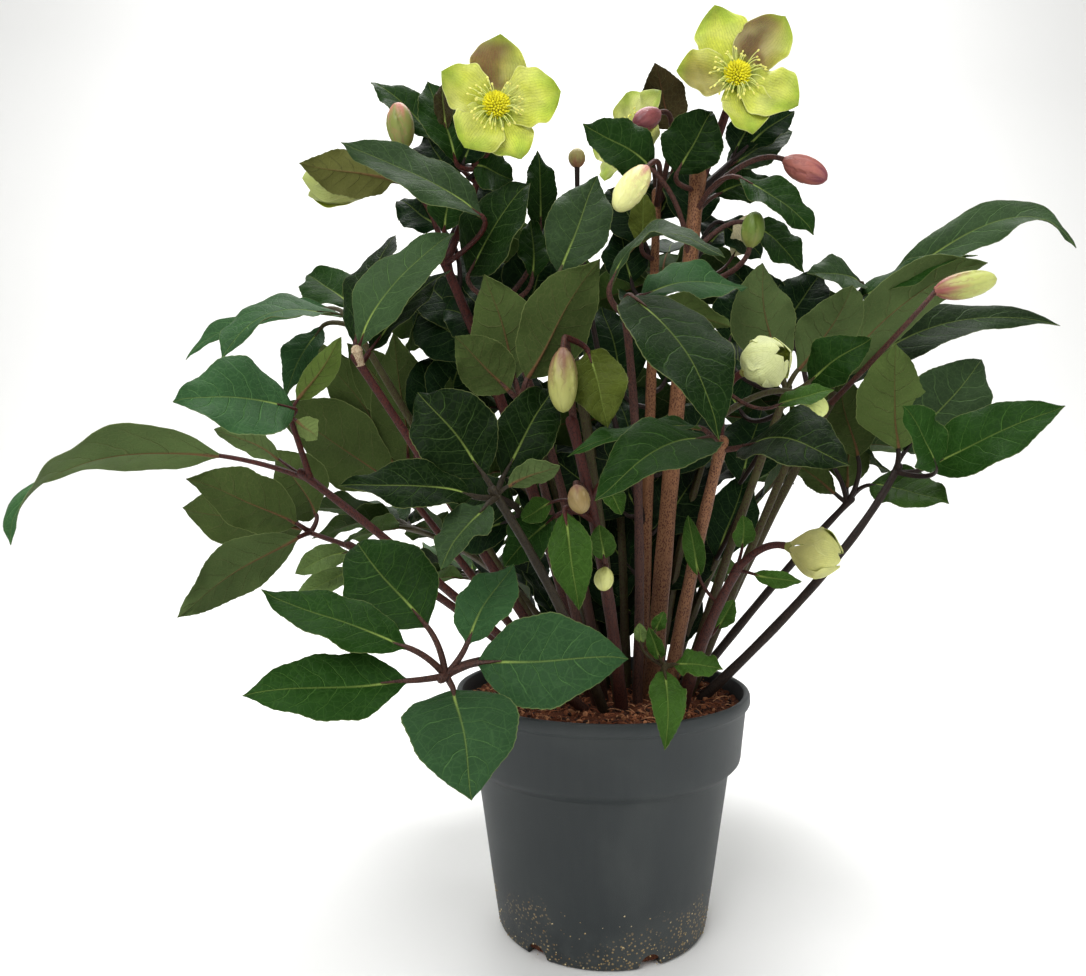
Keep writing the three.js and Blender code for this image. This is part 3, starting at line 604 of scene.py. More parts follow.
@dataclass(frozen=True)
class FibreFinish:
    """Coir fibres, crumbs and grit, whose colour the mesh carries."""

    def material(self) -> Material:
        """Makes the material.

        Returns:
            The material.
        """
        n = Nodes("fibre")
        place = n.place()
        streak = n.cloud(place, 700.0, 3.0)
        colour = n.tinted(n.read("upper", "Color"), streak * 1.1 + 0.45)
        return n.finish(colour, 0.8 + streak * 0.15, streak, 0.0005, Specular_IOR_Level=0.3)


class Finish(Enum):
    """The finishes that pieces of the plant wear."""

    LEAF = LeafFinish()
    SEPAL = SepalFinish()
    STEM = StemFinish()
    BUD = BloomFinish("bud", 7.0)
    STAMEN = BloomFinish("stamen", 0.5, 0.5, 0.0)
    POT = PotFinish()
    SOIL = SoilFinish()
    FIBRE = FibreFinish()


@cache
def material_of(finish: Finish) -> Material:
    """The material of a finish, which is made once."""
    return finish.value.material()


# ---- meshes


VECTORS = ("blade", "flat")
COLOURS = ("upper", "under")


@dataclass
class Notes:
    """What the finishes read over one surface, as one row or as a row for every point.

    blade: shares along and across the surface, and which of its two sides it is.
    flat: a place in millimetres, for marks that keep their size.
    upper, under: the colours of its two sides, or its ground and its marks.
    """

    blade: Array
    flat: Array
    upper: Array | Colour
    under: Array | Colour


@dataclass
class Skin:
    """Collects the surfaces of one piece and makes its mesh."""

    points: list[Array] = field(default_factory=list)
    faces: list[tuple[int, ...]] = field(default_factory=list)
    worn: list[int] = field(default_factory=list)
    notes: dict[str, list[Array]] = field(default_factory=lambda: {name: [] for name in VECTORS + COLOURS})
    finishes: list[Finish] = field(default_factory=list)
    count: int = 0

    def add(self, points: Array, faces: Array | list, finish: Finish, notes: Notes) -> None:
        """Adds a surface.

        Args:
            points: its points in millimetres, one to a row.
            faces: rows of point numbers.
            finish: what it wears.
            notes: what its finish reads.
        """
        if finish not in self.finishes:
            self.finishes.append(finish)
        number = self.finishes.index(finish)
        rows = faces.tolist() if isinstance(faces, np.ndarray) else faces
        self.faces += [tuple(i + self.count for i in row) for row in rows]
        self.worn += [number] * len(rows)
        self.points.append(points)
        for name, kept in self.notes.items():
            kept.append(np.broadcast_to(np.asarray(getattr(notes, name), float), (len(points), 3)))
        self.count += len(points)

    def turned(self, rings: list[Array], finish: Finish) -> None:
        """Adds a closed body of level rings, in a finish that reads no colours."""
        points = np.concatenate(rings)
        self.add(points, tube_faces(len(rings), len(rings[0])), finish, Notes(UNREAD, points, UNREAD, UNREAD))

    def tube(self, path: Array, radii: Array, sides: int, finish: Finish, upper: Colour,
             under: Colour | None = None, share: float = 0.0, lobes: float = 0.0, seed: float = 0.0) -> None:
        """Adds a closed tube that wears one or two colours.

        Args:
            path: its middle line, one point to a row.
            radii: the radius at each of those points.
            sides: points round each ring.
            finish: what it wears.
            upper: its ground.
            under: its marks, if they have a colour of their own.
            share: the share along a blade that the finish takes it for.
            lobes, seed: as for tube_points.
        """
        points = tube_points(path, radii, sides, lobes, seed)
        notes = Notes((share, 0, 0), points, upper, under or upper)
        self.add(points, tube_faces(len(path), sides), finish, notes)

    def piece(self, name: str, slot: str, *nodes: str, sharp: float = 50.0) -> Object:
        """Makes the object, and hides the solids that it stands for.

        Args:
            name: the piece's name.
            slot: the material slot that it would take its finish from; not used.
            *nodes: the solids that it replaces.
            sharp: angle in degrees over which an edge is drawn sharp.

        Returns:
            The object, riding on the plant's body.
        """
        mesh = bpy.data.meshes.new(name)
        mesh.from_pydata((np.concatenate(self.points) * MM).tolist(), [], self.faces)
        for finish in self.finishes:
            mesh.materials.append(material_of(finish))
        mesh.polygons.foreach_set("material_index", self.worn)
        mesh.shade_smooth()
        mesh.set_sharp_from_angle(angle=math.radians(sharp))
        for key in VECTORS:
            layer = mesh.attributes.new(key, "FLOAT_VECTOR", "POINT")
            layer.data.foreach_set("vector", np.concatenate(self.notes[key]).ravel())
        for key in COLOURS:
            colours = np.concatenate(self.notes[key])
            layer = mesh.attributes.new(key, "FLOAT_COLOR", "POINT")
            layer.data.foreach_set("color", np.column_stack((colours, np.ones(len(colours)))).ravel())
        piece = bpy.data.objects.new(name, mesh)
        bpy.context.scene.collection.objects.link(piece)
        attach(piece, BODY)
        if nodes:
            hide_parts(*nodes)
        LOG.info("%s: %d faces", name, len(self.faces))
        return piece


def sheet_faces(rows: int, columns: int) -> Array:
    """Faces of a closed sheet: its upper grid, its lower grid and its rim.

    Args:
        rows: points along the sheet.
        columns: points across it.

    Returns:
        Rows of four point numbers; the lower grid follows the upper one.
    """
    top = np.arange(rows * columns).reshape(rows, columns)
    low = top + rows * columns

    def quads(a: Array, b: Array, c: Array, d: Array) -> Array:
        """Stacks four sets of corners into faces."""
        return np.stack((a.ravel(), b.ravel(), c.ravel(), d.ravel()), 1)

    return np.concatenate((
        quads(top[:-1, :-1], top[:-1, 1:], top[1:, 1:], top[1:, :-1]),
        quads(low[:-1, :-1], low[1:, :-1], low[1:, 1:], low[:-1, 1:]),
        quads(top[:-1, 0], top[1:, 0], low[1:, 0], low[:-1, 0]),
        quads(top[1:, -1], top[:-1, -1], low[:-1, -1], low[1:, -1]),
        quads(top[0, 1:], top[0, :-1], low[0, :-1], low[0, 1:]),
        quads(top[-1, :-1], top[-1, 1:], low[-1, 1:], low[-1, :-1]),
    ))


def tube_faces(rings: int, sides: int) -> list[tuple[int, ...]]:
    """Faces of a closed tube: its wall and a flat face at each end.

    Args:
        rings: rings along the tube.
        sides: points round each ring.

    Returns:
        Rows of point numbers.
    """
    faces = []
    for i in range(rings - 1):
        for j in range(sides):
            k = (j + 1) % sides
            faces.append((i * sides + j, i * sides + k, (i + 1) * sides + k, (i + 1) * sides + j))
    faces.append(tuple(range(sides))[::-1])
    faces.append(tuple(range((rings - 1) * sides, rings * sides)))
    return faces


# Reach and radius of the rings that round off a stem, as shares of its last radius.
ROUND_END = np.array(((0.5, 0.87), (0.87, 0.5), (1.0, 0.06)))


def tube_points(path: Array, radii: Array, sides: int, lobes: float = 0.0, seed: float = 0.0) -> Array:
    """Points of a tube along a path.

    Args:
        path: the middle line, one point to a row.
        radii: the radius at each of its points.
        sides: points round each ring.
        lobes: how far the section is from round, as a share of the radius.
        seed: turns the section.

    Returns:
        The rings' points, one to a row.
    """
    tangents = unit(np.gradient(path, axis=0))
    side = square_to(np.array((0.31, 0.93, 0.17)), tangents[0])
    turns = np.arange(sides) * 2 * math.pi / sides
    section = (1 + lobes * np.cos(turns * 3 + seed))[:, None]
    across, up = np.cos(turns)[:, None], np.sin(turns)[:, None]
    rings = []
    for point, tangent, radius in zip(path, tangents, radii):
        side = square_to(side, tangent)
        other = np.cross(tangent, side)
        rings.append(point + radius * section * (across * side + up * other))
    return np.concatenate(rings)


# ---- leaf tones


class Tone(Enum):
    """Colour of a leaflet: upper side and underside."""

    # DEEP: darker than the leaves' own colour, as painted shade on blades deep inside the plant.
    DEEP = (rgb(10, 30, 10), rgb(34, 50, 22))
    DARK = (rgb(19, 42, 9), rgb(44, 62, 28))
    MID = (rgb(28, 56, 16), rgb(54, 74, 32))
    BRIGHT = (rgb(46, 73, 24), rgb(76, 94, 40))
    BLUE = (rgb(40, 57, 33), rgb(58, 76, 46))
    GREY = (rgb(44, 74, 42), rgb(72, 88, 50))
    OLIVE = (rgb(42, 66, 22), rgb(60, 74, 36))
    BRONZE = (rgb(44, 38, 20), rgb(52, 44, 24))
    BRACT = (rgb(76, 86, 32), rgb(86, 88, 44))
    PALE = (rgb(86, 106, 58), rgb(96, 112, 62))
    CREAM = (rgb(206, 196, 158), rgb(206, 196, 158))


DEEP, DARK, MID, BRIGHT, BLUE, GREY, OLIVE, BRONZE, BRACT, PALE, CREAM = Tone


class Bark(Enum):
    """Colour of a stem: ground and speckles."""

    RED = (rgb(70, 30, 24), rgb(28, 10, 12))
    SPECKLED = (rgb(132, 91, 62), rgb(58, 20, 18))
    PLUM = (rgb(76, 46, 38), rgb(34, 18, 16))
    GREEN = (rgb(62, 60, 30), rgb(50, 26, 20))
    OLIVE = (rgb(46, 40, 26), rgb(26, 18, 14))
    BLACK = (rgb(38, 26, 22), rgb(18, 12, 12))
    STUB = (rgb(178, 160, 132), rgb(128, 96, 72))


# ---- rows of the tables


@dataclass(frozen=True)
class Blade:
    """One blade of a leaf or shoot.

    base, tip, wide: where it begins and ends, and its width.
    face, turn: azimuth and elevation that its upper side looks to at the base, and at the tip if others.
    via, arch: a point of its middle line, or else how far that rises, as a share of its length.
    on, at: which stem it springs from, 0 for the main one, and at what share of it.
    curl, twist: how strongly it folds and waves, and how far it turns, in degrees.
    tone, shade: its colours, and their brightness unless chance draws it; a given low shade is painted shade.
    """

    base: Point
    tip: Point
    wide: float
    face: Pair
    tone: Tone = DARK
    via: Point | None = None
    turn: Pair | None = None
    arch: float = 0.08
    on: int = 0
    at: float = 0.97
    curl: float = 1.0
    twist: float = 0.0
    shade: float = 0.0


@dataclass(frozen=True)
class Bud:
    """A closed bud: foot, tip and width, its two colours, and the shares between which they blend."""

    name: str
    base: Point
    tip: Point
    wide: float
    ground: Colour = rgb(214, 214, 146)
    flush: Colour = rgb(176, 132, 104)
    blush: Pair = (0.0, 0.5)


@dataclass(frozen=True)
class Twig:
    """A side stem: it ends at a point, under a bud or under a flower."""

    to: Point | None = None
    bud: Bud | None = None
    flower: str | None = None
    via: Point | None = None
    radius: Pair = (2.0, 1.5)
    on: int = 0
    at: float = 0.97
    bark: Bark = Bark.PLUM


@dataclass(frozen=True)
class Leafy:
    """A leaf or a leafy shoot: its stem's bend and hub, and what springs from it.

    The stem's radius is given at the soil and at the hub. A fine one stands in front.
    """

    name: str
    bend: Point
    hub: Point
    leaflets: tuple[Blade, ...]
    twigs: tuple[Twig, ...] = ()
    radius: Pair = (3.2, 2.2)
    bark: Bark = Bark.PLUM
    fine: bool = True


# ---- the plant's leaves


LEAVES = (
    Leafy("leaf_front_low", (-62, -92, 200), (-88, -140, 187), (
        Blade((-105, -143, 203), (-172, -152, 232), 36, (0, 60), MID, arch=-0.02, shade=0.89, curl=0.6),
        Blade((-96, -136, 212), (-140, -92, 250), 48, (-10, 28), MID, shade=0.72, curl=0.7),
        Blade((-76, -134, 203), (-54, -108, 240), 30, (-20, 25), GREY, shade=1.02, curl=0.7),
        Blade((-70, -142, 195), (2, -152, 199), 46, (5, 25), GREY, shade=0.78, curl=0.6),
        Blade((-82, -143, 182), (-68, -202, 151), 52, (0, 56), GREY, shade=0.71, curl=0.6),
        Blade((-104, -147, 187.5), (-176, -166, 185), 36, (0, 44), MID, arch=0.02, shade=1.02, curl=0.6),
    )),
    Leafy("leaf_far_left", (-84, -62, 216), (-180, -60, 289), (
        Blade((-228, -60, 299), (-318, -110, 250), 50, (165, 40), GREY, via=(-300, -85, 294),
                turn=(-40, 30), shade=1.2),
        Blade((-196, -50, 297), (-240, -38, 316), 18, (180, 30), GREY),
        Blade((-180, -74, 325), (-232, -112, 325), 56, (-10, 22), GREY, arch=0.12, on=1, shade=0.98),
        Blade((-181, -64, 331), (-160, -46, 371), 18, (170, 20), BRIGHT, on=1),
        Blade((-178, -75, 318), (-164, -84, 308), 14, (180, 20), PALE, on=1),
    ), (Twig(to=(-184, -70, 322), radius=(1.9, 1.6), bark=Bark.RED),), bark=Bark.RED),
    Leafy("leaf_left_under", (-100, -5, 212), (-164, -10, 243), (
        Blade((-200, 10, 253), (-294, 42, 266), 56, (180, 25), OLIVE, on=1, arch=0.0),
        Blade((-199, -6, 257), (-272, -4, 286), 42, (180, 20), OLIVE, on=1),
        Blade((-196, -14, 248), (-250, -66, 205), 36, (160, 30), GREY, on=1),
        Blade((-191, 12, 262), (-234, 52, 308), 46, (180, 10), OLIVE, on=1),
        Blade((-160, -26, 240), (-186, -52, 229), 18, (0, 35), PALE),
    ), (Twig(to=(-192, -2, 251), radius=(1.9, 1.6), bark=Bark.RED),), bark=Bark.RED),
    Leafy("leaf_left_back", (-84, 22, 215), (-134, 28, 279), (
        Blade((-146, 34, 284), (-243, 76, 342), 60, (180, 25), OLIVE),
        Blade((-140, 34, 292), (-206, 70, 382), 52, (170, 15), OLIVE),
        Blade((-132, 30, 296), (-146, 50, 392), 50, (180, 8), OLIVE),
        Blade((-126, 36, 288), (-106, 62, 366), 46, (190, 10), OLIVE),
    ), bark=Bark.RED),
    Leafy("leaf_left_upper", (-122, 2, 318), (-166, 2, 391), (
        Blade((-169, -8, 392), (-222, -72, 354), 42, (-10, 42), GREY, via=(-204, -40, 386)),
        Blade((-182, 12, 401), (-279, 12, 366), 28, (-20, 50), GREY, via=(-246, 22, 394)),
        Blade((-184, 0, 386), (-204, -14, 338), 24, (-10, 20), GREY),
        Blade((-168, 18, 402), (-212, 62, 436), 38, (0, 40), DARK),
    ), bark=Bark.GREEN),
    Leafy("leaf_blue_left", (-100, -36, 280), (-146, -72, 355), (
        Blade((-143, -73, 361), (-90, -64, 428), 38, (-15, 25), BLUE, arch=0.14, shade=1.4),
        # Shades of 0.5: painted shade on these blades inside the plant.
        Blade((-140, -60, 360), (-94, -44, 412), 26, (-10, 40), DARK, shade=0.5),
        Blade((-148, -62, 364), (-134, -8, 444), 32, (-20, 35), DARK, shade=0.5),
    ), bark=Bark.RED),
    Leafy("leaf_centre_left", (-27, -86, 218), (-64, -125, 279), (
        # Shades of 0.38 and 0.4: painted shade in the middle of the plant.
        Blade((-68, -126, 286), (-104, -112, 330), 44, (0, 22), DARK, shade=0.38),
        Blade((-74, -130, 276), (-134, -158, 281), 28, (0, 42), DARK, shade=0.4),
        Blade((-66, -133, 272), (-86, -160, 242), 24, (-20, 30), BLUE),
        Blade((-56, -127, 281), (-30, -134, 291), 16, (170, 40), GREY),
        Blade((-59, -118, 286), (-32, -84, 336), 32, (10, 22), DARK, shade=0.4),
    ), bark=Bark.OLIVE),
    Leafy("leaf_upper_mid", (-30, -50, 250), (-51, -88, 332), (
        Blade((-54, -88, 340), (-72, -72, 402), 42, (170, 12), OLIVE),
        Blade((-47, -92, 340), (-8, -104, 402), 40, (195, 12), OLIVE),
        Blade((-57, -92, 333), (-86, -98, 362), 32, (180, 15), OLIVE),
    )),
    Leafy("leaf_upright_mid", (-24, -28, 300), (-68, -38, 398), (
        # Shade 0.62 on the first blade: painted shade among the upper leaves.
        Blade((-84, -40, 410), (-46, -56, 460), 54, (-20, 20), DARK, shade=0.62),
        Blade((-45, -48, 406), (-46, -40, 444), 20, (20, 20), DARK),
        Blade((-40, -30, 440), (-42, -30, 490), 22, (20, 10), DARK),
    )),
    Leafy("leaf_blue_upper", (-2, -44, 280), (-30, -62, 396), (
        Blade((-29, -63, 405), (-6, -52, 466), 38, (5, 15), BLUE),
    ), bark=Bark.GREEN),
    Leafy("leaf_centre_top", (22, -50, 290), (6, -92, 380), (
        Blade((8, -106, 382), (42, -166, 302), 50, (12, 38), DARK, arch=0.12, shade=0.65),
        Blade((-2, -98, 390), (50, -142, 392), 26, (0, 60), BLUE, via=(20, -114, 412)),
        Blade((18, -90, 380), (62, -102, 366), 22, (185, 40), OLIVE),
        Blade((16, -84, 387), (80, -66, 396), 36, (10, 50), GREY),
    )),
    Leafy("leaf_right_upper", (84, -26, 262), (112, -36, 342), (
        Blade((106, -44, 350), (92, -52, 414), 42, (190, 10), GREY, via=(93, -56, 382)),
        Blade((117, -40, 352), (138, -72, 396), 38, (175, 20), GREY, via=(136, -44, 378)),
        Blade((122, -46, 344), (150, -70, 366), 30, (10, 25), DARK),
    ), bark=Bark.GREEN),
    Leafy("leaf_right_tall", (98, 0, 240), (141, 4, 338), (
        Blade((146, 2, 346), (236, -34, 419), 48, (190, 28), GREY, via=(197, -10, 402)),
        Blade((176, 12, 418), (133, -6, 420), 34, (0, 30), BLUE),
    ), bark=Bark.GREEN),
    Leafy("leaf_right_round", (156, -24, 236), (191, -10, 294), (
        Blade((190, -12, 305), (191, -6, 374), 52, (180, 12), OLIVE, shade=1.55),
        Blade((198, -4, 304), (262, 22, 368), 50, (0, 25), BLUE),
        Blade((206, -16, 293), (266, -62, 328), 46, (0, 35), MID, arch=0.03, shade=1.09),
        Blade((202, -38, 292), (171, -62, 328), 34, (10, 25), MID),
    ), bark=Bark.BLACK),
    Leafy("leaf_right_low", (142, 60, 226), (177, 34, 272), (
        Blade((186, 24, 282), (222, -14, 270), 40, (20, 24), OLIVE),
        Blade((176, 40, 280), (188, 44, 338), 34, (180, 15), OLIVE),
        Blade((168, 40, 276), (138, 46, 300), 20, (170, 30), OLIVE),
    ), bark=Bark.BLACK),
    Leafy("leaf_soil_front", (30, -56, 165), (33, -60, 176), (
        Blade((31, -70, 175), (25, -112, 143), 20, (0, 30), BRIGHT, via=(29, -98, 165)),
        Blade((38, -62, 177), (64, -74, 177), 20, (10, 45), BRIGHT),
        Blade((30, -62, 180), (22, -70, 200), 10, (-20, 30), BRIGHT),
    ), radius=(2.4, 1.8), bark=Bark.GREEN),
)


# ---- the plant's shoots


SHOOTS = (
    Leafy("shoot_left", (-46, -12, 300), (-103, -26, 428), (
        Blade((-74, -64, 438), (-152, -80, 474), 40, (0, 42), BLUE, arch=0.05),
        Blade((-106, -22, 500), (-149, -14, 540), 27, (10, 30), DARK, on=1, at=0.4),
        Blade((-92, -38, 480), (-110, -32, 532), 30, (10, 15), DARK, on=1, at=0.5),
        Blade((-128, -48, 465), (-182, -58, 471), 30, (190, 8), BRACT, on=2, at=0.8),
        Blade((-82, -32, 480), (-57, -24, 474), 34, (0, 12), DARK, on=1, at=0.55),
    ), (
        Twig(flower="flower_left", radius=(2.6, 1.8), bark=Bark.RED),
        Twig(flower="flower_side", bark=Bark.RED),
        Twig(bud=Bud("bud_left", (-124, -37, 488), (-127, -40, 515), 17, rgb(126, 134, 66), rgb(178, 112, 96),
                      (1.0, 0.55)), on=1, at=0.3),
    ), (4.4, 2.8), Bark.RED),
    Leafy("shoot_right", (46, -14, 320), (60, -20, 478), (
        # Shade 0.7 on the first blade: painted shade under the right flower.
        Blade((44, -34, 474), (64, -44, 508), 40, (-10, 15), DARK, shade=0.7),
        Blade((28, -44, 472), (-15, -54, 496), 36, (0, 8), DARK, at=0.82),
        Blade((80, -46, 467), (120, -60, 428), 30, (20, 30), DARK, at=0.92),
        Blade((92, -24, 446), (124, -30, 414), 32, (20, 20), DARK, at=0.84),
        Blade((80, -12, 486), (124, -6, 512), 30, (0, 20), BLUE, at=0.9),
    ), (
        Twig(flower="flower_right", radius=(3.4, 2.2), bark=Bark.RED),
        Twig(bud=Bud("bud_back", (87, -42, 426), (90, -45, 447), 14, rgb(96, 118, 44), rgb(128, 134, 66)),
             at=0.78),
        Twig(bud=Bud("bud_right", (109, -38, 481), (133, -45, 466), 15.5, rgb(166, 100, 90), rgb(118, 58, 66),
                     (1.0, 0.6)), at=0.94),
    ), (6, 4.6), Bark.SPECKLED),
    Leafy("shoot_middle", (34, 16, 320), (38, 10, 478), (
        Blade((49, 14, 522), (36, 8, 564), 34, (180, 10), BRONZE),
        Blade((22, 22, 474), (-8, 40, 482), 26, (0, 40), DARK, at=0.95),
    ), (
        Twig(bud=Bud("bud_cream", (22, -60, 467), (3, -76, 438), 17, rgb(222, 222, 148), rgb(200, 140, 124),
                     (0.0, 0.4))),
        Twig(bud=Bud("bud_pink", (35, -22, 517), (18, -28, 506), 14, rgb(146, 80, 82), rgb(104, 50, 56),
                     (1.0, 0.5))),
        Twig(flower="flower_behind"),
        Twig(bud=Bud("bud_small", (-17, -20, 483), (-17, -21, 495), 11, rgb(150, 140, 84), rgb(150, 104, 74)),
             at=0.3, bark=Bark.BLACK),
    ), (4.4, 2.8), Bark.SPECKLED),
    Leafy("shoot_centre", (-2, -80, 236), (-23, -96, 316), (
        # Shade 0.82 on the bract: painted shade.
        Blade((-14, -96, 354), (-4, -104, 312), 30, (0, 10), BRACT, on=1, at=0.75, curl=1.7, shade=0.82),
        Blade((-27, -106, 267), (-20, -118, 217), 23, (0, 20), BRIGHT, at=0.66),
        Blade((-34, -90, 272), (-50, -88, 262), 15, (0, 30), BRIGHT, at=0.7),
        Blade((-6, -96, 282), (3, -108, 266), 14, (10, 30), BRIGHT, at=0.72),
        Blade((-32, -84, 264), (-60, -84, 236), 27, (-10, 35), MID, at=0.68),
        Blade((-5, -90, 241), (-8, -95, 260), 15, (0, 10), OLIVE, on=3, at=0.7),
    ), (
        Twig(bud=Bud("bud_hanging", (-28, -110, 353), (-28, -116, 319), 16, rgb(162, 162, 92),
                     rgb(120, 82, 64), (0.0, 0.7)), via=(-26, -100, 380)),
        Twig(bud=Bud("bud_tan", (-21, -104, 281), (-18, -112, 267), 12, rgb(142, 122, 78), rgb(122, 80, 60)),
             at=0.74),
        Twig(bud=Bud("bud_low", (-4, -88, 236), (-6, -93, 224), 11, rgb(206, 208, 132), rgb(150, 150, 74)),
             at=0.45),
    ), (4, 2.8), Bark.RED),
    Leafy("shoot_front_right", (50, -46, 230), (62, -80, 306), (
        Blade((53, -90, 308), (-14, -152, 274), 44, (-10, 35), MID, arch=0.1, shade=0.73),
        Blade((50, -78, 314), (-26, -122, 296), 24, (-30, 60), MID),
        # Shade 0.36 on the third blade: painted shade.
        Blade((72, -88, 303), (112, -138, 291), 50, (20, 12), DARK, arch=0.14, shade=0.36),
        Blade((92, -84, 326), (122, -88, 334), 16, (0, 40), BRIGHT, on=1, at=0.6),
    ), (
        Twig(flower="flower_opening_upper", radius=(2.6, 2), bark=Bark.RED),
        Twig(bud=Bud("bud_green", (108, -76, 332), (122, -76, 322), 13, rgb(204, 214, 130),
                     rgb(130, 152, 66)), on=1, at=0.3, bark=Bark.GREEN),
    ), (4.6, 3), Bark.SPECKLED),
    Leafy("shoot_low_right", (58, -46, 196), (76, -60, 234), (
        Blade((84, -64, 230), (108, -76, 227), 12, (0, -20), BRIGHT),
        Blade((80, -52, 244), (79, -58, 264), 14, (10, 20), BRIGHT),
        Blade((54, -54, 228), (46, -62, 264), 13, (-20, 20), BRIGHT, at=0.7),
        Blade((68, -38, 194), (78, -40, 212), 12, (10, 20), BRIGHT, at=0.4),
    ), (Twig(flower="flower_opening_low", radius=(2.4, 2), bark=Bark.RED),), (4.2, 2.6), Bark.RED),
    Leafy("shoot_far_right", (110, 24, 248), (164, 30, 344), (
        Blade((192, 22, 412), (297, -24, 431), 34, (15, 32), BLUE, via=(266, 4, 457), shade=1.35),
        Blade((174, 30, 352), (312, 16, 390), 40, (10, 36), BLUE, via=(240, 34, 396), shade=0.58),
    ), (
        Twig(bud=Bud("bud_far_right", (202, -36, 401), (235, -46, 406), 16.5, rgb(180, 186, 104),
                     rgb(156, 92, 86), (0.0, 0.55)), via=(176, -44, 372)),
    ), (3.6, 2.6), Bark.GREEN),
)


# ---- small blades that only this scene has


def dark(base: Point, tip: Point, wide: float, face: Pair = (0, 10), **more: float) -> Blade:
    """A dark blade inside the plant, which mostly looks to the front; its DEEP tone paints the shade there.
    """
    return Blade(base, tip, wide, face, DEEP, **more)


INNER = {
    "leaf_soil_front": (
        Blade((19, -58, 189), (18, -60, 201), 8, (0, 10), PALE),
        Blade((27, -60, 196), (32, -62, 208), 9, (10, 20), BRIGHT),
    ),
    "leaf_left_under": (
        Blade((-158, -22, 228), (-189, -42, 213), 17, (0, 30), PALE, at=0.8),
    ),
    "leaf_left_back": (
        Blade((-142, 42, 298), (-214, 84, 394), 38, (180, 15), OLIVE),
        dark((-124, 46, 280), (-78, 78, 330), 40, (0, 20)),
        Blade((-134, 40, 330), (-182, 60, 386), 38, (180, 12), OLIVE),
        dark((-120, 38, 320), (-112, 56, 380), 38, (0, 12)),
        dark((-106, 30, 328), (-92, 36, 388), 40, (0, 12)),
    ),
    "shoot_left": (
        Blade((-98, -40, 498), (-100, -40, 526), 12, (0, 10), BRONZE, on=1, at=0.7),
        Blade((-100, -30, 440), (-92, -34, 472), 26, (0, 10), DARK, at=0.9),
        dark((-88, -34, 480), (-78, -38, 502), 22, on=1, at=0.5),
        dark((-96, -22, 472), (-114, -14, 508), 34, on=1, at=0.5),
        dark((-104, -18, 446), (-132, -8, 466), 32, (0, 20), at=0.9),
        dark((-88, -18, 452), (-58, -6, 470), 32, (0, 20), at=0.92),
    ),
    "shoot_right": (
        dark((92, -16, 498), (122, -16, 521), 22),
        dark((84, -14, 494), (98, -12, 524), 24),
        Blade((86, -2, 432), (96, -6, 458), 18, (20, 10), CREAM, at=0.8),
        dark((56, 0, 452), (66, 16, 500), 38, at=0.86),
        Blade((74, -8, 470), (112, 4, 486), 30, (0, 15), DARK, at=0.88),
        dark((78, -8, 452), (106, 4, 432), 32, (10, 20), at=0.8),
        dark((70, 2, 440), (92, 20, 458), 32, (0, 20), at=0.78),
    ),
    "leaf_centre_left": (
        # Shade 0.5: painted shade in the middle of the plant.
        Blade((-54, -84, 270), (-96, -70, 276), 32, (0, 20), DARK, shade=0.5),
        dark((-57, -78, 262), (-88, -62, 246), 28, (0, 25)),
    ),
    "leaf_blue_left": (
        Twig(to=(-144.5, -73.5, 358), radius=(2.4, 3.0), bark=Bark.STUB),
    ),
    "shoot_middle": (
        # Shade 0.5 on the low blades: painted shade, deep in the plant's shadow.
        dark((30, 20, 176), (72, 50, 212), 44, at=0.06, shade=0.5),
        dark((26, 22, 190), (-14, 46, 226), 44, at=0.1, shade=0.5),
        dark((36, 24, 214), (84, 56, 246), 46, at=0.2, shade=0.5),
        dark((24, 24, 222), (-16, 50, 268), 44, at=0.2, shade=0.5),
        dark((38, 24, 250), (80, 60, 296), 46, at=0.3, shade=0.5),
        dark((28, 26, 262), (2, 50, 318), 44, at=0.32, shade=0.5),
        dark((42, 24, 290), (82, 56, 340), 44, at=0.42),
        dark((18, 16, 262), (-34, 24, 302), 42, at=0.34, shade=0.5),
        dark((30, 22, 290), (14, 34, 342), 40, at=0.44),
        dark((30, 14, 446), (6, 26, 486), 36, (0, 15), at=0.82),
        Blade((26, -2, 440), (27, -8, 472), 19, (0, 10), BRACT, at=0.86),
        dark((22, 20, 420), (14, 26, 458), 34, at=0.76),
        dark((16, 18, 346), (2, 30, 406), 46, at=0.55),
        dark((44, 18, 352), (66, 30, 404), 44, at=0.58),
        dark((40, 16, 462), (58, 28, 500), 34, at=0.88),
    ),
    "leaf_right_upper": (
        dark((80, 20, 232), (104, 40, 290), 36, at=0.6),
        dark((84, 0, 376), (94, 6, 416), 34),
        dark((96, 20, 284), (116, 40, 336), 42, at=0.8),
        dark((92, 0, 330), (66, 14, 372), 38, (0, 15), at=0.9),
    ),
    "leaf_right_low": (
        Blade((180, 30, 302), (172, 42, 364), 42, (180, 10), OLIVE),
        Blade((166, 40, 296), (140, 54, 340), 34, (180, 20), OLIVE),
    ),
    "leaf_right_tall": (
        Blade((166, 8, 402), (234, -26, 426), 28, (0, 50), MID),
        dark((116, 6, 382), (152, 16, 428), 36, (0, 15)),
        dark((120, 8, 392), (88, 22, 430), 34, (0, 15)),
    ),
    "leaf_upright_mid": (
        dark((-58, -20, 390), (-92, -8, 432), 34, (0, 20)),
        dark((-52, -20, 384), (-34, -14, 438), 44),
        dark((-86, -6, 384), (-122, 14, 424), 38, (0, 15)),
        dark((-70, -20, 380), (-104, -4, 396), 34, (0, 30)),
        dark((-82, -8, 366), (-126, 8, 400), 44, (0, 12)),
    ),
}


# ---- the plant's flowers


@dataclass(frozen=True)
class Shape:
    """Shape of a flower's sepals, as shares of their reach, and of the knob behind them.

    middle, tip: distance from the flower's axis and forward along it.
    wide: their full width.
    step: millimetres that each layer of sepals stands in front of the one below.
    knob: radius of the knob in millimetres.
    """

    middle: Pair
    tip: Pair
    wide: float
    step: float
    knob: float


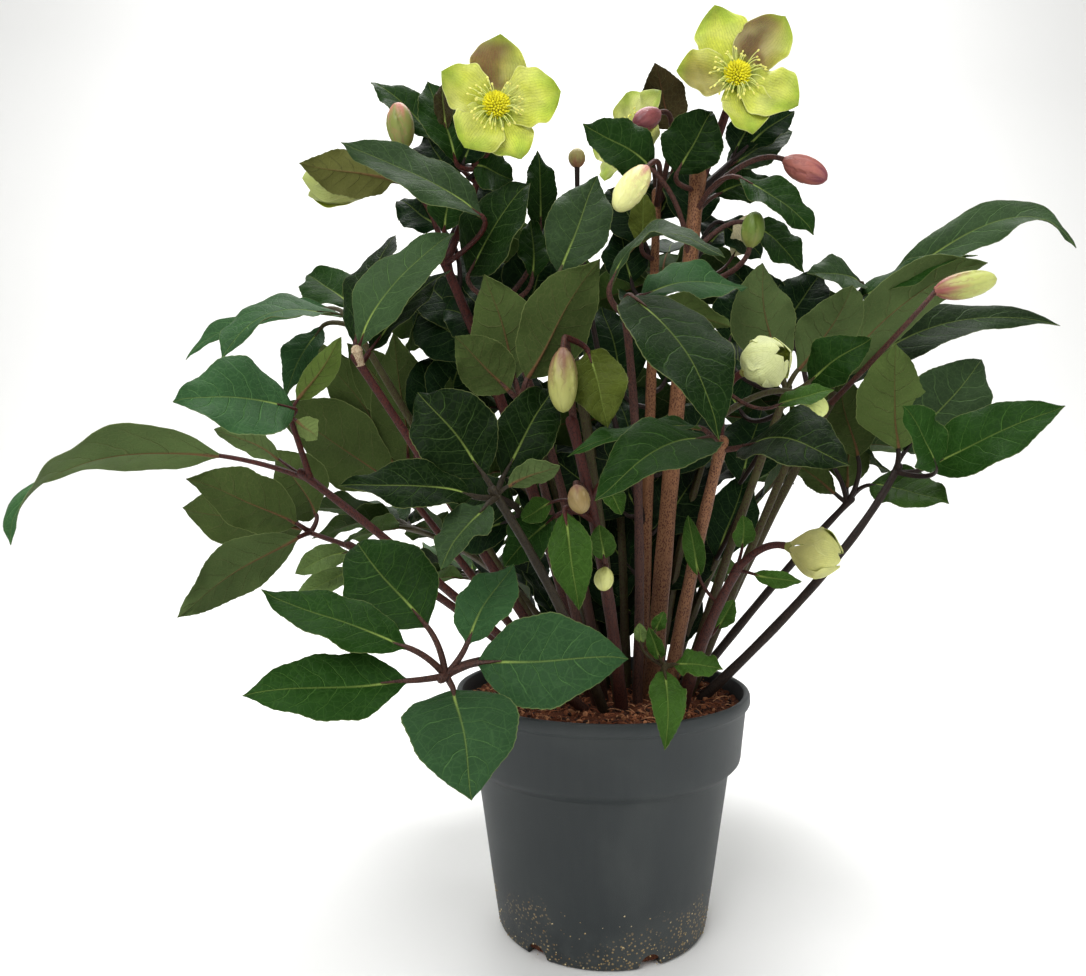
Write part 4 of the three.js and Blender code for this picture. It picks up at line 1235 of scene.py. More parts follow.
class Opening(Enum):
    """How far a flower is open."""

    OPEN = Shape((0.52, 0.07), (1.0, 0.16), 0.92, 1.5, 5.0)
    NODDING = Shape((0.27, 0.46), (0.2, 0.98), 0.6, 0.8, 4.5)
    CLOSING = Shape((0.52, 0.45), (0.15, 0.98), 0.9, 0.8, 4.0)


@dataclass(frozen=True)
class Sepal:
    """One sepal: its direction, counter-clockwise from the right, its reach, its layer and its looks."""

    angle: float
    reach: float
    layer: float
    flush: float = 0.0
    cup: float = 0.0
    twist: float = 0.0
    wide: float = 1.0


@dataclass(frozen=True)
class Flower:
    """A flower: centre, where it looks, how open it is, its sepals and their colours."""

    name: str
    centre: Point
    face: Pair
    opening: Opening
    sepals: tuple[Sepal, ...]
    inner: Colour = rgb(184, 191, 68)
    outer: Colour = rgb(150, 156, 84)
    stain: Colour = rgb(108, 80, 46)


def regular(reach: float, count: int = 5) -> tuple[Sepal, ...]:
    """Sepals spaced evenly, that lie over each other as in the bud."""
    layers = (0, 2, 0, 2, 1)
    return tuple(Sepal(90 - 360 * i / count, reach, layers[i], 0.2, 0.1) for i in range(count))


FLOWERS = (
    Flower("flower_left", (-66, -60, 502), (5, 5), Opening.OPEN, (
        Sepal(87, 42, 0, flush=1.0, cup=0.05, wide=0.86),
        Sepal(11, 38, 2, flush=0.1, cup=0.12, wide=1.06),
        Sepal(-66, 36, 0, cup=0.1, wide=0.9),
        Sepal(-122, 34, 2, cup=0.16, twist=-8, wide=1.04),
        Sepal(152, 36, 1, flush=0.15, cup=0.18, twist=8, wide=0.9),
    )),
    Flower("flower_right", (77, -50, 525), (-5, 8), Opening.OPEN, (
        Sepal(106, 45, 0, cup=0.02, wide=0.8),
        Sepal(48, 42, 2, flush=1.0, cup=0.05, wide=0.86),
        Sepal(-38, 42, 2, cup=0.16, twist=14, wide=0.84),
        Sepal(-80, 41, 0, cup=0.34, twist=-14, wide=0.76),
        Sepal(177, 36, 1, flush=0.75, cup=0.26, wide=0.92),
    )),
    Flower("flower_behind", (22, 10, 515), (-50, 12), Opening.OPEN, regular(34), rgb(196, 206, 118)),
    Flower("flower_side", (-141, -22, 474), (-86, -2), Opening.NODDING, regular(46),
           outer=rgb(168, 178, 104)),
    Flower("flower_opening_upper", (74, -90, 344.5), (34, 14), Opening.CLOSING, regular(25.5),
           rgb(196, 206, 132), rgb(206, 212, 150), rgb(160, 164, 104)),
    Flower("flower_opening_low", (104, -72, 246), (72, -12), Opening.CLOSING, regular(26),
           rgb(194, 200, 106), rgb(196, 197, 118), rgb(148, 128, 86)),
)


# ---- sub-assemblies


@dataclass(frozen=True)
class Crown:
    """Where the stems come out of the soil, in millimetres.

    A stem starts as far under the soil as it is sunk, and bends from as far along it as its collar.
    """

    x: float = 20.0
    y: float = 2.0
    level: float = 145.0
    spread: float = 66.0
    steep: float = 0.6
    limit: float = 72.0
    sunk: float = 14.0
    collar: float = 9.0

    def root(self, bend: Point) -> Array:
        """Where a stem leaves the soil: low stems come out furthest out.

        Args:
            bend: the stem's bend.

        Returns:
            The point.
        """
        lean = np.array((bend[0] - self.x, bend[1] - self.y))
        slope = np.linalg.norm(lean) / (bend[2] - self.level)
        root = unit(lean) * self.spread * slope / (slope + self.steep) + (self.x, self.y)
        root *= min(1.0, self.limit / max(np.linalg.norm(root), TINY))
        return np.array((*root, self.level))


CROWN = Crown()


@dataclass(frozen=True)
class BladeMaker:
    """Builds leaflets and sepals: a closed thin sheet along an arched midrib, in millimetres."""

    rows: int
    columns: int
    base_power: float
    tip_power: float
    thick: float = 0.55
    fold: float = 0.24
    wave: float = 2.1
    quilt: float = 0.55
    groove: float = 0.4
    rib: float = 0.9
    teeth: int = 20
    tooth: float = 0.55
    stalk: float = 1.4
    veins: SideVeins = SideVeins()
    blunt: float = 0.0
    uneven: float = 0.7
    sway: float = 0.035

    def share(self, along: Array) -> Array:
        """Outline of a blade; a blunt one is broad up to a short point.

        Args:
            along: share of its length.

        Returns:
            Share of its full width there.
        """
        if self.blunt:
            turn = self.base_power / (self.base_power + self.blunt)
            widest = turn ** (self.base_power / self.blunt) * (1 - turn)
            return along ** self.base_power * (1 - along ** self.blunt) / widest
        total = self.base_power + self.tip_power
        widest = (self.base_power / total) ** self.base_power * (self.tip_power / total) ** self.tip_power
        return along ** self.base_power * (1 - along) ** self.tip_power / widest

    def half_width(self, along: Array, wide: float, seed: float) -> Array:
        """Half width, from the stalk's at the base to a point at the tip.

        Args:
            along: share of its length.
            wide: its full width.
            seed: sets it apart from others.

        Returns:
            Millimetres.
        """
        body = self.share(along) * wide / 2 * (1 + 0.025 * np.sin(along * 21 + seed * 3))
        foot = self.stalk * smooth(along, 0.12, 0.0)
        return np.maximum(body, np.maximum(foot, 0.12))

    def sheet(self, midrib: Bend, faces: tuple[Array, Array], wide: float, seed: float,
              curl: float, twist: float, cup: float = 0.0) -> tuple[Array, Array, Array]:
        """Lays out a blade.

        Args:
            midrib: its middle line.
            faces: where its upper side looks at the base and at the tip.
            wide: its full width.
            seed: sets it apart from others.
            curl: how strongly it folds and waves.
            twist: how far the blade turns about its midrib from base to tip, in degrees.
            cup: further lift of its edges, as a share of the half width.

        Returns:
            The points of its two grids, and the notes blade and flat for them.
        """
        u = np.linspace(0, 1, self.rows)
        spaced = np.linspace(-1, 1, self.columns)
        v = np.sign(spaced) * np.abs(spaced) ** 1.3
        centre, tangent = midrib.point(u), unit(midrib.tangent(u))
        facing = faces[0] * (1 - u[:, None]) + faces[1] * u[:, None]
        normal = square_to(facing, tangent)
        turn = np.radians(twist) * (u - 0.3)[:, None]
        side = np.cross(tangent, normal)
        normal = normal * np.cos(turn) + side * np.sin(turn)
        side = np.cross(tangent, normal)
        half = self.half_width(u, wide, seed)
        notch = (np.arange(self.rows) * self.teeth / (self.rows - 1)) % 1.0
        tooth = 1 + notch * -self.tooth / np.maximum(half, 3)
        swing = np.sin(u * 4.2 + seed * 2.1) * wide * 0.025 * np.sin(math.pi * u)
        along, across = np.meshgrid(u, v, indexing="ij")
        width, half = np.abs(across), half[:, None]
        reach = half * across * np.where(width > 0.9, tooth[:, None], 1.0)
        lift = half * self._fold(across, seed, curl, cup) + self._relief(along, across, wide, seed, curl)
        lift = lift - self.groove * np.exp(-(reach / 0.9) ** 2) * smooth(along, 1.0, 0.4)
        upper = centre[:, None] + side[:, None] * (reach + swing[:, None])[..., None]
        upper = upper + normal[:, None] * lift[..., None]
        outward = unit(np.cross(np.gradient(upper, axis=1), np.gradient(upper, axis=0)))
        depth = self.thick * (1 - 0.55 * width ** 3) + self.rib * np.exp(-reach ** 2) * (1 - 0.75 * along)
        depth *= np.minimum(1, 0.35 + half / 2.5)
        lower = upper - outward * depth[..., None]
        length = np.linalg.norm(np.diff(centre, axis=0), axis=1).sum()
        sides = (np.zeros_like(along), np.ones_like(along))
        blade = np.concatenate([np.stack((along, across, s), -1).reshape(-1, 3) for s in sides])
        spot = np.stack((along * length, reach, np.full_like(along, seed * 37.0)), -1).reshape(-1, 3)
        points = np.concatenate((upper.reshape(-1, 3), lower.reshape(-1, 3)))
        return points, blade, np.concatenate((spot, spot))

    def _fold(self, across: Array, seed: float, curl: float, cup: float) -> Array:
        """Fold of a blade along its midrib, and droop of its edges.

        Args:
            across: share of its half width, with sign.
            seed: makes it lopsided.
            curl: how strongly it folds.
            cup: further lift of its edges.

        Returns:
            Lift, as a share of the half width.
        """
        width = np.abs(across)
        soft = np.sqrt(across ** 2 + 0.02) - math.sqrt(0.02)
        lopsided = 1 + self.uneven * math.sin(seed * 5.3) * across
        return self.fold * curl * soft * lopsided + cup * width ** 2 - 0.10 * curl * width ** 4

    def _relief(self, along: Array, across: Array, wide: float, seed: float, curl: float) -> Array:
        """Waves of a blade's edges, and quilting between its side veins.

        Args:
            along: share of its length.
            across: share of its half width, with sign.
            wide: its full width.
            seed: sets it apart from others.
            curl: how strongly it waves.

        Returns:
            Lift in millimetres.
        """
        width = np.abs(across)
        phase = np.where(across > 0, 0.0, 1.9) + seed * 2.4
        bulge = 1 - (2 * np.abs(self.veins.order(along, width, across > 0) % 1.0 - 0.5)) ** 2
        relief = (
            self.sway * wide * np.sin(along * 5 + seed * 3.1)
            + self.wave * curl * np.sin(along * 11 + phase) * width ** 2
            + 0.5 * self.wave * curl * np.sin(along * 23 + phase * 1.7) * width ** 3
            + self.quilt * (bulge - 0.5) * smooth(width, 0.04, 0.3) * smooth(width, 1.0, 0.75)
            + 0.4 * self.quilt * ripple(along, across, seed)
        )
        return relief * smooth(along, 0.0, 0.14) * smooth(along, 1.0, 0.9)

    def faces(self) -> Array:
        """The faces of every blade that this maker lays out."""
        return sheet_faces(self.rows, self.columns)


FINE = BladeMaker(rows=49, columns=15, base_power=0.8, tip_power=1.05, teeth=16)
COARSE = BladeMaker(rows=31, columns=9, base_power=0.8, tip_power=1.05, teeth=10)
SMALL = BladeMaker(rows=31, columns=11, base_power=0.75, tip_power=0.85, teeth=10, tooth=0.3, wave=0.9,
                   rib=0.5, stalk=0.9, quilt=0.2)
PETAL = BladeMaker(rows=37, columns=21, base_power=0.5, tip_power=0.7, thick=0.7, fold=0.06, wave=1.5,
                   quilt=0.25, groove=0.15, rib=0.3, teeth=1, tooth=0.0, stalk=2.2, veins=SideVeins(3.0),
                   blunt=3.4, sway=0.0)
CUPPED = replace(PETAL, base_power=0.7, wave=0.4, fold=0.02, blunt=6.0)

SMALL_WIDTH = 18.0


@dataclass
class LeafyPiece:
    """A leaf or a leafy shoot, built round its row of the table."""

    row: Leafy
    index: int
    skin: Skin = field(default_factory=Skin)
    curves: list[Bend] = field(default_factory=list)
    woody: Colour = rgb(52, 40, 30)
    woody_share: float = 0.4
    woody_below: float = 330.0
    loose_twist: float = 24.0

    def build(self) -> None:
        """Builds the piece that replaces the node of the row's name."""
        self._stem()
        for i, twig in enumerate(self.row.twigs):
            self._twig(twig, i)
        for i, part in enumerate(self.row.leaflets + INNER.get(self.row.name, ())):
            if isinstance(part, Twig):
                self._twig(part, i)
            else:
                self._leaflet(part, self.index * 7 + i)
        self.skin.piece(f"{self.row.name}_dressed", "leaf", self.row.name)

    def _tube(self, path: Array, radii: Array, bark: Bark, sides: int, seed: float) -> None:
        """Adds a stem's skin along a path, with a rounded end.

        Args:
            path: its middle line.
            radii: its radius at each point.
            bark: its colours.
            sides: points round each ring.
            seed: turns its section.
        """
        way = unit(path[-1] - path[-2])
        path = np.concatenate((path, path[-1] + way * radii[-1] * ROUND_END[:, :1]))
        radii = np.concatenate((radii, radii[-1] * ROUND_END[:, 1]))
        rings = len(path)
        points = tube_points(path, radii, sides, 0.05, seed)
        along = np.repeat(np.linspace(0, 1, rings), sides)
        blade = np.stack((along, np.tile(np.arange(sides) / sides, rings), np.zeros(rings * sides)), -1)
        ground, speckle = (np.array(c) for c in bark.value)
        old = smooth(points[:, 2:], self.woody_below, CROWN.level) * self.woody_share
        faded = between(ground, np.array(self.woody), old)
        self.skin.add(points, tube_faces(rings, sides), Finish.STEM, Notes(blade, points, faded, speckle))

    def _stem(self) -> None:
        """Adds the main stem, from below the soil to the hub."""
        row = self.row
        root, bend, hub = CROWN.root(row.bend), np.array(row.bend, float), np.array(row.hub, float)
        rise = unit(bend - root)
        self.curves.append(Bend(root + rise * CROWN.collar, bend, hub))
        rings, sides = (26, 12) if row.fine else (16, 8)
        share = np.linspace(0, 1, rings)
        path = np.concatenate(([root - rise * CROWN.sunk], self.curves[0].point(share)))
        radii = between(*row.radius, share)
        radii = radii * (1 + 0.22 * smooth(share, 0.93, 1.0) + 0.04 * np.sin(share * 31 + self.index))
        wider = np.concatenate(([row.radius[0]], radii))
        wider[:2] *= 1.05
        self._tube(path, wider, row.bark, sides, self.index)

    def _spring(self, row: Blade | Twig) -> Array:
        """The point of a stem that a leaflet or twig springs from."""
        return self.curves[row.on].point(row.at)

    def _twig(self, twig: Twig, number: int) -> None:
        """Adds a side stem.

        Args:
            twig: its row.
            number: its place in the table.
        """
        start = self._spring(twig)
        end, way = twig_end(twig)
        pull = np.array(twig.via, float) if twig.via else end - way * np.linalg.norm(end - start) * 0.4
        if twig.to:
            pull = (pull + start) / 2
        curve = Bend(start, pull, end)
        self.curves.append(curve)
        share = np.linspace(0, 1, 18)
        joints = 1 + 0.18 * smooth(share, 0.1, 0.0) + 0.15 * smooth(share, 0.92, 1.0)
        radii = between(*twig.radius, share) * joints
        self._tube(curve.point(share), radii, twig.bark, 10, number * 3 + 1)

    def _leaflet(self, leaflet: Blade, seed: int) -> None:
        """Adds a blade on its stalk.

        Args:
            leaflet: its row.
            seed: sets it apart from others.
        """
        base, tip = np.array(leaflet.base, float), np.array(leaflet.tip, float)
        face = heading(*leaflet.face)
        last = heading(*leaflet.turn) if leaflet.turn else face
        if leaflet.via:
            middle = np.array(leaflet.via, float)
        else:
            rise = square_to(face, tip - base) * leaflet.arch * np.linalg.norm(tip - base)
            middle = (base + tip) / 2 + rise
        midrib = Bend(base, 2 * middle - (base + tip) / 2, tip)
        plain = leaflet.tone is DEEP or not self.row.fine
        maker = SMALL if leaflet.wide <= SMALL_WIDTH else COARSE if plain else FINE
        twist = leaflet.twist + (chance(seed + 0.5) - 0.5) * self.loose_twist
        points, blade, flat = maker.sheet(midrib, (face, last), leaflet.wide, seed, leaflet.curl, twist)
        shade = leaflet.shade or 0.86 + 0.28 * chance(seed + 0.2)
        upper, under = (np.array(c) * shade for c in leaflet.tone.value)
        self.skin.add(points, maker.faces(), Finish.LEAF, Notes(blade, flat, upper, under))
        self._stalk(leaflet, midrib, face, maker, seed)

    def _stalk(self, leaflet: Blade, midrib: Bend, face: Array, maker: BladeMaker, seed: int) -> None:
        """Adds a blade's stalk, which runs out under the foot of the blade.

        Args:
            leaflet: the blade's row.
            midrib: the blade's middle line.
            face: where its upper side looks.
            maker: what laid it out.
            seed: turns the stalk's section.
        """
        base, spring = midrib.start, self._spring(leaflet)
        run = np.linalg.norm(base - spring)
        way = unit(midrib.tangent(0.0))
        bow = 0.06 + 0.4 * float(smooth(np.dot(way, base - spring) / max(run, TINY), -0.5, 0.7))
        stalk = Bend(spring, base - way * run * bow, base)
        share = np.linspace(0, 1, 9)
        into = np.linspace(0.03, 0.16, 5)
        normal = square_to(face, midrib.tangent(0.05))
        blend = midrib.point(into) - normal * (maker.thick / 2 + 0.25)
        path = np.concatenate((stalk.point(share), blend))
        radii = maker.stalk * np.concatenate((1.3 - 0.3 * share, np.linspace(0.9, 0.25, len(into))))
        bark = Bark.PLUM if self.row.bark is Bark.SPECKLED else self.row.bark
        # Stalks of DEEP blades are black: painted shade inside the plant.
        self._tube(path, radii, Bark.BLACK if leaflet.tone is DEEP else bark, 8, seed)


def twig_end(twig: Twig) -> tuple[Array, Array]:
    """Where a twig ends: straight under its bud or flower, or at its point.

    Args:
        twig: its row.

    Returns:
        The point, and the twig's direction there.
    """
    if twig.to:
        return np.array(twig.to, float), np.zeros(3)
    if twig.bud:
        foot = np.array(twig.bud.base, float)
        way = unit(np.array(twig.bud.tip, float) - foot)
        return foot + way, way
    flower = next(f for f in FLOWERS if f.name == twig.flower)
    way = heading(*flower.face)
    return np.array(flower.centre, float) - way * (1.0 + flower.opening.value.knob), way


@dataclass(frozen=True)
class BackLeaves:
    """The leaves round the back and inside, each from its place: azimuth, reach, height and lean.

    angles, lengths: the fan of leaflets of each leaf.
    low: leaflets low on each stem: at what share of it, azimuth from the leaf's own, and length.
    behind: azimuths between which a stem has low leaflets on its lower half too.
    """

    places: tuple[tuple[float, float, float, float], ...] = (
        (121, 176, 306, 26), (152, 206, 300, 36), (165, 198, 208, 24), (190, 205, 242, 34),
        (217, 196, 204, 26), (242, 184, 250, 28), (126, 138, 392, 48), (148, 150, 338, 52),
        (180, 158, 316, 44), (214, 152, 344, 54), (246, 128, 392, 46), (160, 96, 438, 50),
        (216, 98, 448, 56), (262, 84, 290, 66), (189, 58, 330, 64),
    )
    angles: tuple[float, ...] = (-84, -57, -29, 0, 29, 57, 84)
    lengths: tuple[float, ...] = (54, 66, 78, 86, 78, 66, 54)
    tones: tuple[Tone, ...] = (DARK, DEEP, MID)
    wide: float = 40.0
    arch: float = 0.1
    gap: float = 10.0
    droop: Pair = (0.24, 0.44)
    twist: float = 0.3
    bend_out: float = 0.45
    bend_up: float = 0.8
    low: tuple[tuple[float, float, float], ...] = (
        (0.1, -36, 58), (0.2, 30, 62), (0.32, -58, 54), (0.46, 52, 56), (0.6, -44, 58), (0.76, 40, 60),
    )
    low_wide: float = 38.0
    low_gap: float = 5.0
    low_rise: float = 64.0
    low_fall: float = 34.0
    behind: Pair = (140.0, 240.0)

    def rows(self) -> list[Leafy]:
        """The rows of these leaves."""
        return [self._row(i, *place) for i, place in enumerate(self.places)]

    def _row(self, index: int, azimuth: float, reach: float, height: float, slope: float) -> Leafy:
        """One leaf whose leaflets are fanned round the way it leans out.

        Args:
            index: its number.
            azimuth: where it leans out to.
            reach: how far out its hub is.
            height: how high its hub is.
            slope: how steeply its leaflets rise, in degrees.

        Returns:
            Its row.
        """
        out = heading(azimuth, 0)
        axis = np.array((CROWN.x, CROWN.y, height))
        hub = axis + out * reach
        bend = axis + out * reach * self.bend_out
        bend[2] = CROWN.level + (height - CROWN.level) * self.bend_up
        lean = heading(azimuth, slope)
        side = unit(np.cross(out, (0, 0, 1)))
        leaflets = []
        for i, (angle, length) in enumerate(zip(self.angles, self.lengths)):
            turn = math.radians(angle)
            way = lean * math.cos(turn) + side * math.sin(turn)
            base = hub + way * self.gap
            tip = base + way * length
            tip[2] -= length * between(*self.droop, chance(index * 5 + i))
            face = (azimuth + angle * self.twist, 90 - slope)
            tone = pick(self.tones, index * 3.3 + i)
            leaflets.append(Blade(tuple(base), tuple(tip), self.wide, face, tone, arch=self.arch))
        stem = Bend(CROWN.root(tuple(bend)), bend, hub)
        for share, angle, length in self.low:
            if share < 0.5 and not self.behind[0] < azimuth < self.behind[1]:
                continue
            rise = self.low_rise - self.low_fall * share
            way = heading(azimuth + angle, rise)
            base = stem.point(share) + way * self.low_gap
            tip = base + way * length
            face = (azimuth + angle + 180, 90 - rise)
            # Low leaflets take the DEEP tone: painted shade low in the plant.
            leaflets.append(Blade(tuple(base), tuple(tip), self.low_wide, face, DEEP, at=share))
        name = f"leaf_back_{index + 1:02d}"
        return Leafy(name, tuple(bend), tuple(hub), tuple(leaflets), bark=Bark.GREEN, fine=False)


@dataclass
class FlowerPart:
    """A part of a flower, built round the flower's row."""

    row: Flower
    skin: Skin = field(default_factory=Skin)

    def at(self, angle: float | Array, out: float | Array, forward: float | Array) -> Array:
        """A point in the flower's own frame.

        Args:
            angle: degrees round its axis, from the right.
            out: distance from its axis.
            forward: distance in front of its centre.

        Returns:
            The point.
        """
        front = heading(*self.row.face)
        right = square_to(np.array((1.0, 0, 0)), front)
        up = np.cross(front, right)
        turn = np.radians(np.asarray(angle, float))[..., None]
        out, forward = (np.asarray(x, float)[..., None] for x in (out, forward))
        spread = right * np.cos(turn) + up * np.sin(turn)
        return np.array(self.row.centre, float) + spread * out + front * forward


@dataclass
class Sepals(FlowerPart):
    """The sepals of a flower and the receptacle behind them."""

    foot: Colour = rgb(122, 142, 30)
    tip: Colour = rgb(138, 166, 36)
    knob: Colour = rgb(128, 132, 66)
    knob_speckle: Colour = rgb(104, 74, 52)
    closed_cup: float = 0.45

    def build(self) -> None:
        """Builds the piece that replaces the sepals' node."""
        row, shape = self.row, self.row.opening.value
        is_open = row.opening is Opening.OPEN
        maker = PETAL if is_open else CUPPED
        for i, sepal in enumerate(row.sepals):
            rise = sepal.layer * shape.step
            base = self.at(sepal.angle, 2.5, rise * 0.4 - 1)
            via, end = (
                self.at(sepal.angle, out * sepal.reach, forward * sepal.reach + rise)
                for out, forward in (shape.middle, shape.tip)
            )
            midrib = Bend(base, 2 * via - (base + end) / 2, end)
            wide = shape.wide * sepal.wide * sepal.reach
            seed = i + 3.3 * len(row.name)
            cup = sepal.cup if is_open else self.closed_cup
            points, blade, flat = maker.sheet(midrib, self._facing(sepal), wide, seed, 1.0, sepal.twist, cup)
            upper, under = self._colours(sepal, blade)
            self.skin.add(points, maker.faces(), Finish.SEPAL, Notes(blade, flat, upper, under))
        self._knob(shape.knob)
        self.skin.piece(f"{row.name}_sepals_dressed", "sepal", f"{row.name}_sepals")

    def _facing(self, sepal: Sepal) -> tuple[Array, Array]:
        """Where a sepal's inner side looks.

        Args:
            sepal: its row.

        Returns:
            The directions at its base and at its tip.
        """
        front = heading(*self.row.face)
        if self.row.opening is Opening.OPEN:
            return front, front
        inward = unit(self.at(0, 0, 0) - self.at(sepal.angle, 1, 0))
        return front * 0.4 + inward, inward - front * 0.3

    def _colours(self, sepal: Sepal, blade: Array) -> tuple[Array, Array]:
        """Colours over a sepal: green at its foot and tip, and a brown flush on some.

        Args:
            sepal: its row.
            blade: its notes of that name.

        Returns:
            The inner and the outer colour of every point.
        """
        along, across = blade[:, 0:1], blade[:, 1:2]
        inner, outer, stain = map(np.array, (self.row.inner, self.row.outer, self.row.stain))
        foot, tip = np.array(self.foot), np.array(self.tip)
        greening = smooth(along + 0.12 * np.sin(across * 5 + sepal.angle), 0.5, 1.0)
        spread = across * 0.8 + 0.35 * np.sin(along * 5 + sepal.angle) - 1.3 * max(0.0, sepal.flush - 0.6)
        patch = smooth(along, 0.06, 0.3) * smooth(along, 1.04, 0.8) * smooth(spread, 0.75, -0.5)
        upper = between(inner, tip, greening * 0.8)
        upper = between(upper, stain, min(1.0, sepal.flush) * patch)
        upper = between(upper, foot, smooth(along, 0.3, 0.05) * 0.8)
        under = between(outer, stain, (0.35 + 0.5 * sepal.flush) * smooth(along, 1.0, 0.1))
        return upper, under

    def _knob(self, radius: float) -> None:
        """Adds the receptacle, a small cone from the stalk to the sepals.

        Args:
            radius: its radius.
        """
        steps = np.linspace(0, 1, 9)
        path = self.at(0, 0 * steps, -radius - 1.6 + steps * (radius + 2.2))
        radii = radius * (0.42 + 0.5 * np.sin(steps * math.pi / 2) ** 1.4)
        self.skin.tube(path, radii, 18, Finish.STEM, self.knob, self.knob_speckle)


@dataclass
class Stamens(FlowerPart):
    """The boss of closed anthers in an open flower, the open stamens round it and the nectaries."""

    seat: float = 1.0
    head_count: int = 150
    head_radius: float = 7.6
    filament_count: int = 46
    nectary_count: int = 13
    heart: Colour = rgb(196, 190, 34)
    anther: Colour = rgb(230, 222, 40)
    filament: Colour = rgb(206, 214, 120)
    loose_anther: Colour = rgb(232, 226, 120)
    nectary: Colour = rgb(134, 158, 52)

    def build(self) -> None:
        """Builds the piece that replaces the stamens' node."""
        seed = len(self.row.name) * 1.3
        self._boss(seed)
        self._filaments(seed)
        self._nectaries(seed)
        self.skin.piece(f"{self.row.name}_stamens_dressed", "stamen", f"{self.row.name}_stamens")

    def _boss(self, seed: float) -> None:
        """Adds the heart, and the closed anthers that cover it in a spiral.

        Args:
            seed: sets it apart from others.
        """
        radii = np.array((3.2, 5.2, 6.0, 6.2, 5.6, 4.0, 1.6))
        steps = np.linspace(-1.5, 6.5, len(radii))
        self._grain(self.at(0, 0 * steps, self.seat + steps), radii, 16, self.heart)
        for i in range(self.head_count):
            height = 1 - (i + 0.5) / self.head_count * 1.25
            level = math.sqrt(max(0.0, 1 - height * height))
            angle = i * SPIRAL
            out = self.head_radius * level * (0.94 + 0.12 * chance(i + seed))
            forward = self.seat + 3.0 + 4.6 * height
            foot = self.at(angle, out * 0.72, forward - 1.2)
            top = self.at(angle + 9 * (chance(i * 3.1 + seed) - 0.5), out * 1.08, forward + 1.0)
            self._anther(foot, top, 0.72, self.anther, i + seed)

    def _filaments(self, seed: float) -> None:
        """Adds the open stamens: drooping threads with an anther at the end.

        Args:
            seed: sets them apart from others.
        """
        for i in range(self.filament_count):
            angle = i * SPIRAL + 40 * chance(i + 0.3 + seed)
            out = 10.5 + 6.5 * chance(i * 1.7 + seed)
            forward = self.seat + 3.5 + 6.0 * chance(i * 2.3 + seed)
            droop = heading(0, -90) * 3.2 * chance(i * 4.1 + seed)
            foot, top = self.at(angle, 4.6, self.seat - 0.5), self.at(angle, out, forward) + droop
            curve = Bend(foot, self.at(angle, out * 0.62, forward + 1.6), top)
            self._grain(curve.point(np.linspace(0, 1, 8)), np.linspace(0.34, 0.2, 8), 5, self.filament)
            way = unit(curve.tangent(1.0) + 0.8 * heading(chance(i) * 360, 20))
            self._anther(top - way * 0.7, top + way * 1.3, 0.62, self.loose_anther, i * 1.9)

    def _nectaries(self, seed: float) -> None:
        """Adds the ring of small green tubes at the stamens' feet.

        Args:
            seed: sets them apart from others.
        """
        radii = np.array((0.7, 1.0, 1.3, 1.5, 1.6, 1.1))
        out, forward = np.linspace(4.4, 8.2, len(radii)), np.linspace(-1.5, 1.8, len(radii))
        for i in range(self.nectary_count):
            angle = 360 * i / self.nectary_count + 8 * chance(i + seed)
            self._grain(self.at(angle, out, self.seat + forward), radii, 8, self.nectary)

    def _anther(self, foot: Array, top: Array, radius: float, colour: Colour, seed: float) -> None:
        """Adds an anther, a small rounded grain.

        Args:
            foot: one end.
            top: the other end.
            radius: its radius.
            colour: its colour.
            seed: makes it lighter or darker.
        """
        radii = radius * np.array((0.35, 0.9, 1.0, 0.85, 0.3))
        path = foot + (top - foot) * np.linspace(0, 1, len(radii))[:, None]
        self._grain(path, radii, 6, tuple(c * (0.8 + 0.35 * chance(seed)) for c in colour))

    def _grain(self, path: Array, radii: Array, sides: int, colour: Colour) -> None:
        """Adds a tube in the stamens' finish."""
        self.skin.tube(path, radii, sides, Finish.STAMEN, colour, share=0.5)


@dataclass
class BudPiece:
    """A closed bud whose five sepals lie over each other."""

    row: Bud
    rings: int = 30
    sides: int = 50
    sepals: int = 5
    overlap: float = 0.12
    widest: float = 0.492

    def build(self) -> None:
        """Builds the bud."""
        row = self.row
        foot, tip = np.array(row.base, float), np.array(row.tip, float)
        share = np.linspace(0.0, 1.0, self.rings)
        swell = share ** 0.5 * (1 - share) ** 0.52 / self.widest
        swell[0], swell[-1] = 0.3, 0.04
        path = foot + (tip - foot) * share[:, None]
        turns = np.arange(self.sides) / self.sides
        lap = (turns * self.sepals + share[:, None] * 0.5) % 1.0
        relief = 1 + self.overlap * (lap - 0.75) * np.sin(math.pi * share[:, None]) ** 0.5
        plain = tube_points(path, swell * row.wide / 2, self.sides).reshape(self.rings, self.sides, 3)
        points = (path[:, None] + (plain - path[:, None]) * relief[..., None]).reshape(-1, 3)
        blade = np.stack(np.meshgrid(share, turns, indexing="ij") + [np.zeros((self.rings, self.sides))], -1)
        blade = blade.reshape(-1, 3)
        ground, flush = np.array(row.ground), np.array(row.flush)
        edge = smooth(lap, 0.8, 1.0).reshape(-1, 1)
        along, around = blade[:, :1], blade[:, 1:2]
        ragged = along + 0.12 * np.sin(around * 31 + foot[0]) + 0.06 * np.sin(around * 83)
        upper = between(ground, flush, smooth(ragged, row.blush[1], row.blush[0])) * (1 - 0.14 * edge)
        notes = Notes(blade, points, upper, flush * 0.8)
        skin = Skin()
        skin.add(points, tube_faces(self.rings, self.sides), Finish.BUD, notes)
        skin.piece(f"{row.name}_dressed", "bud", row.name)


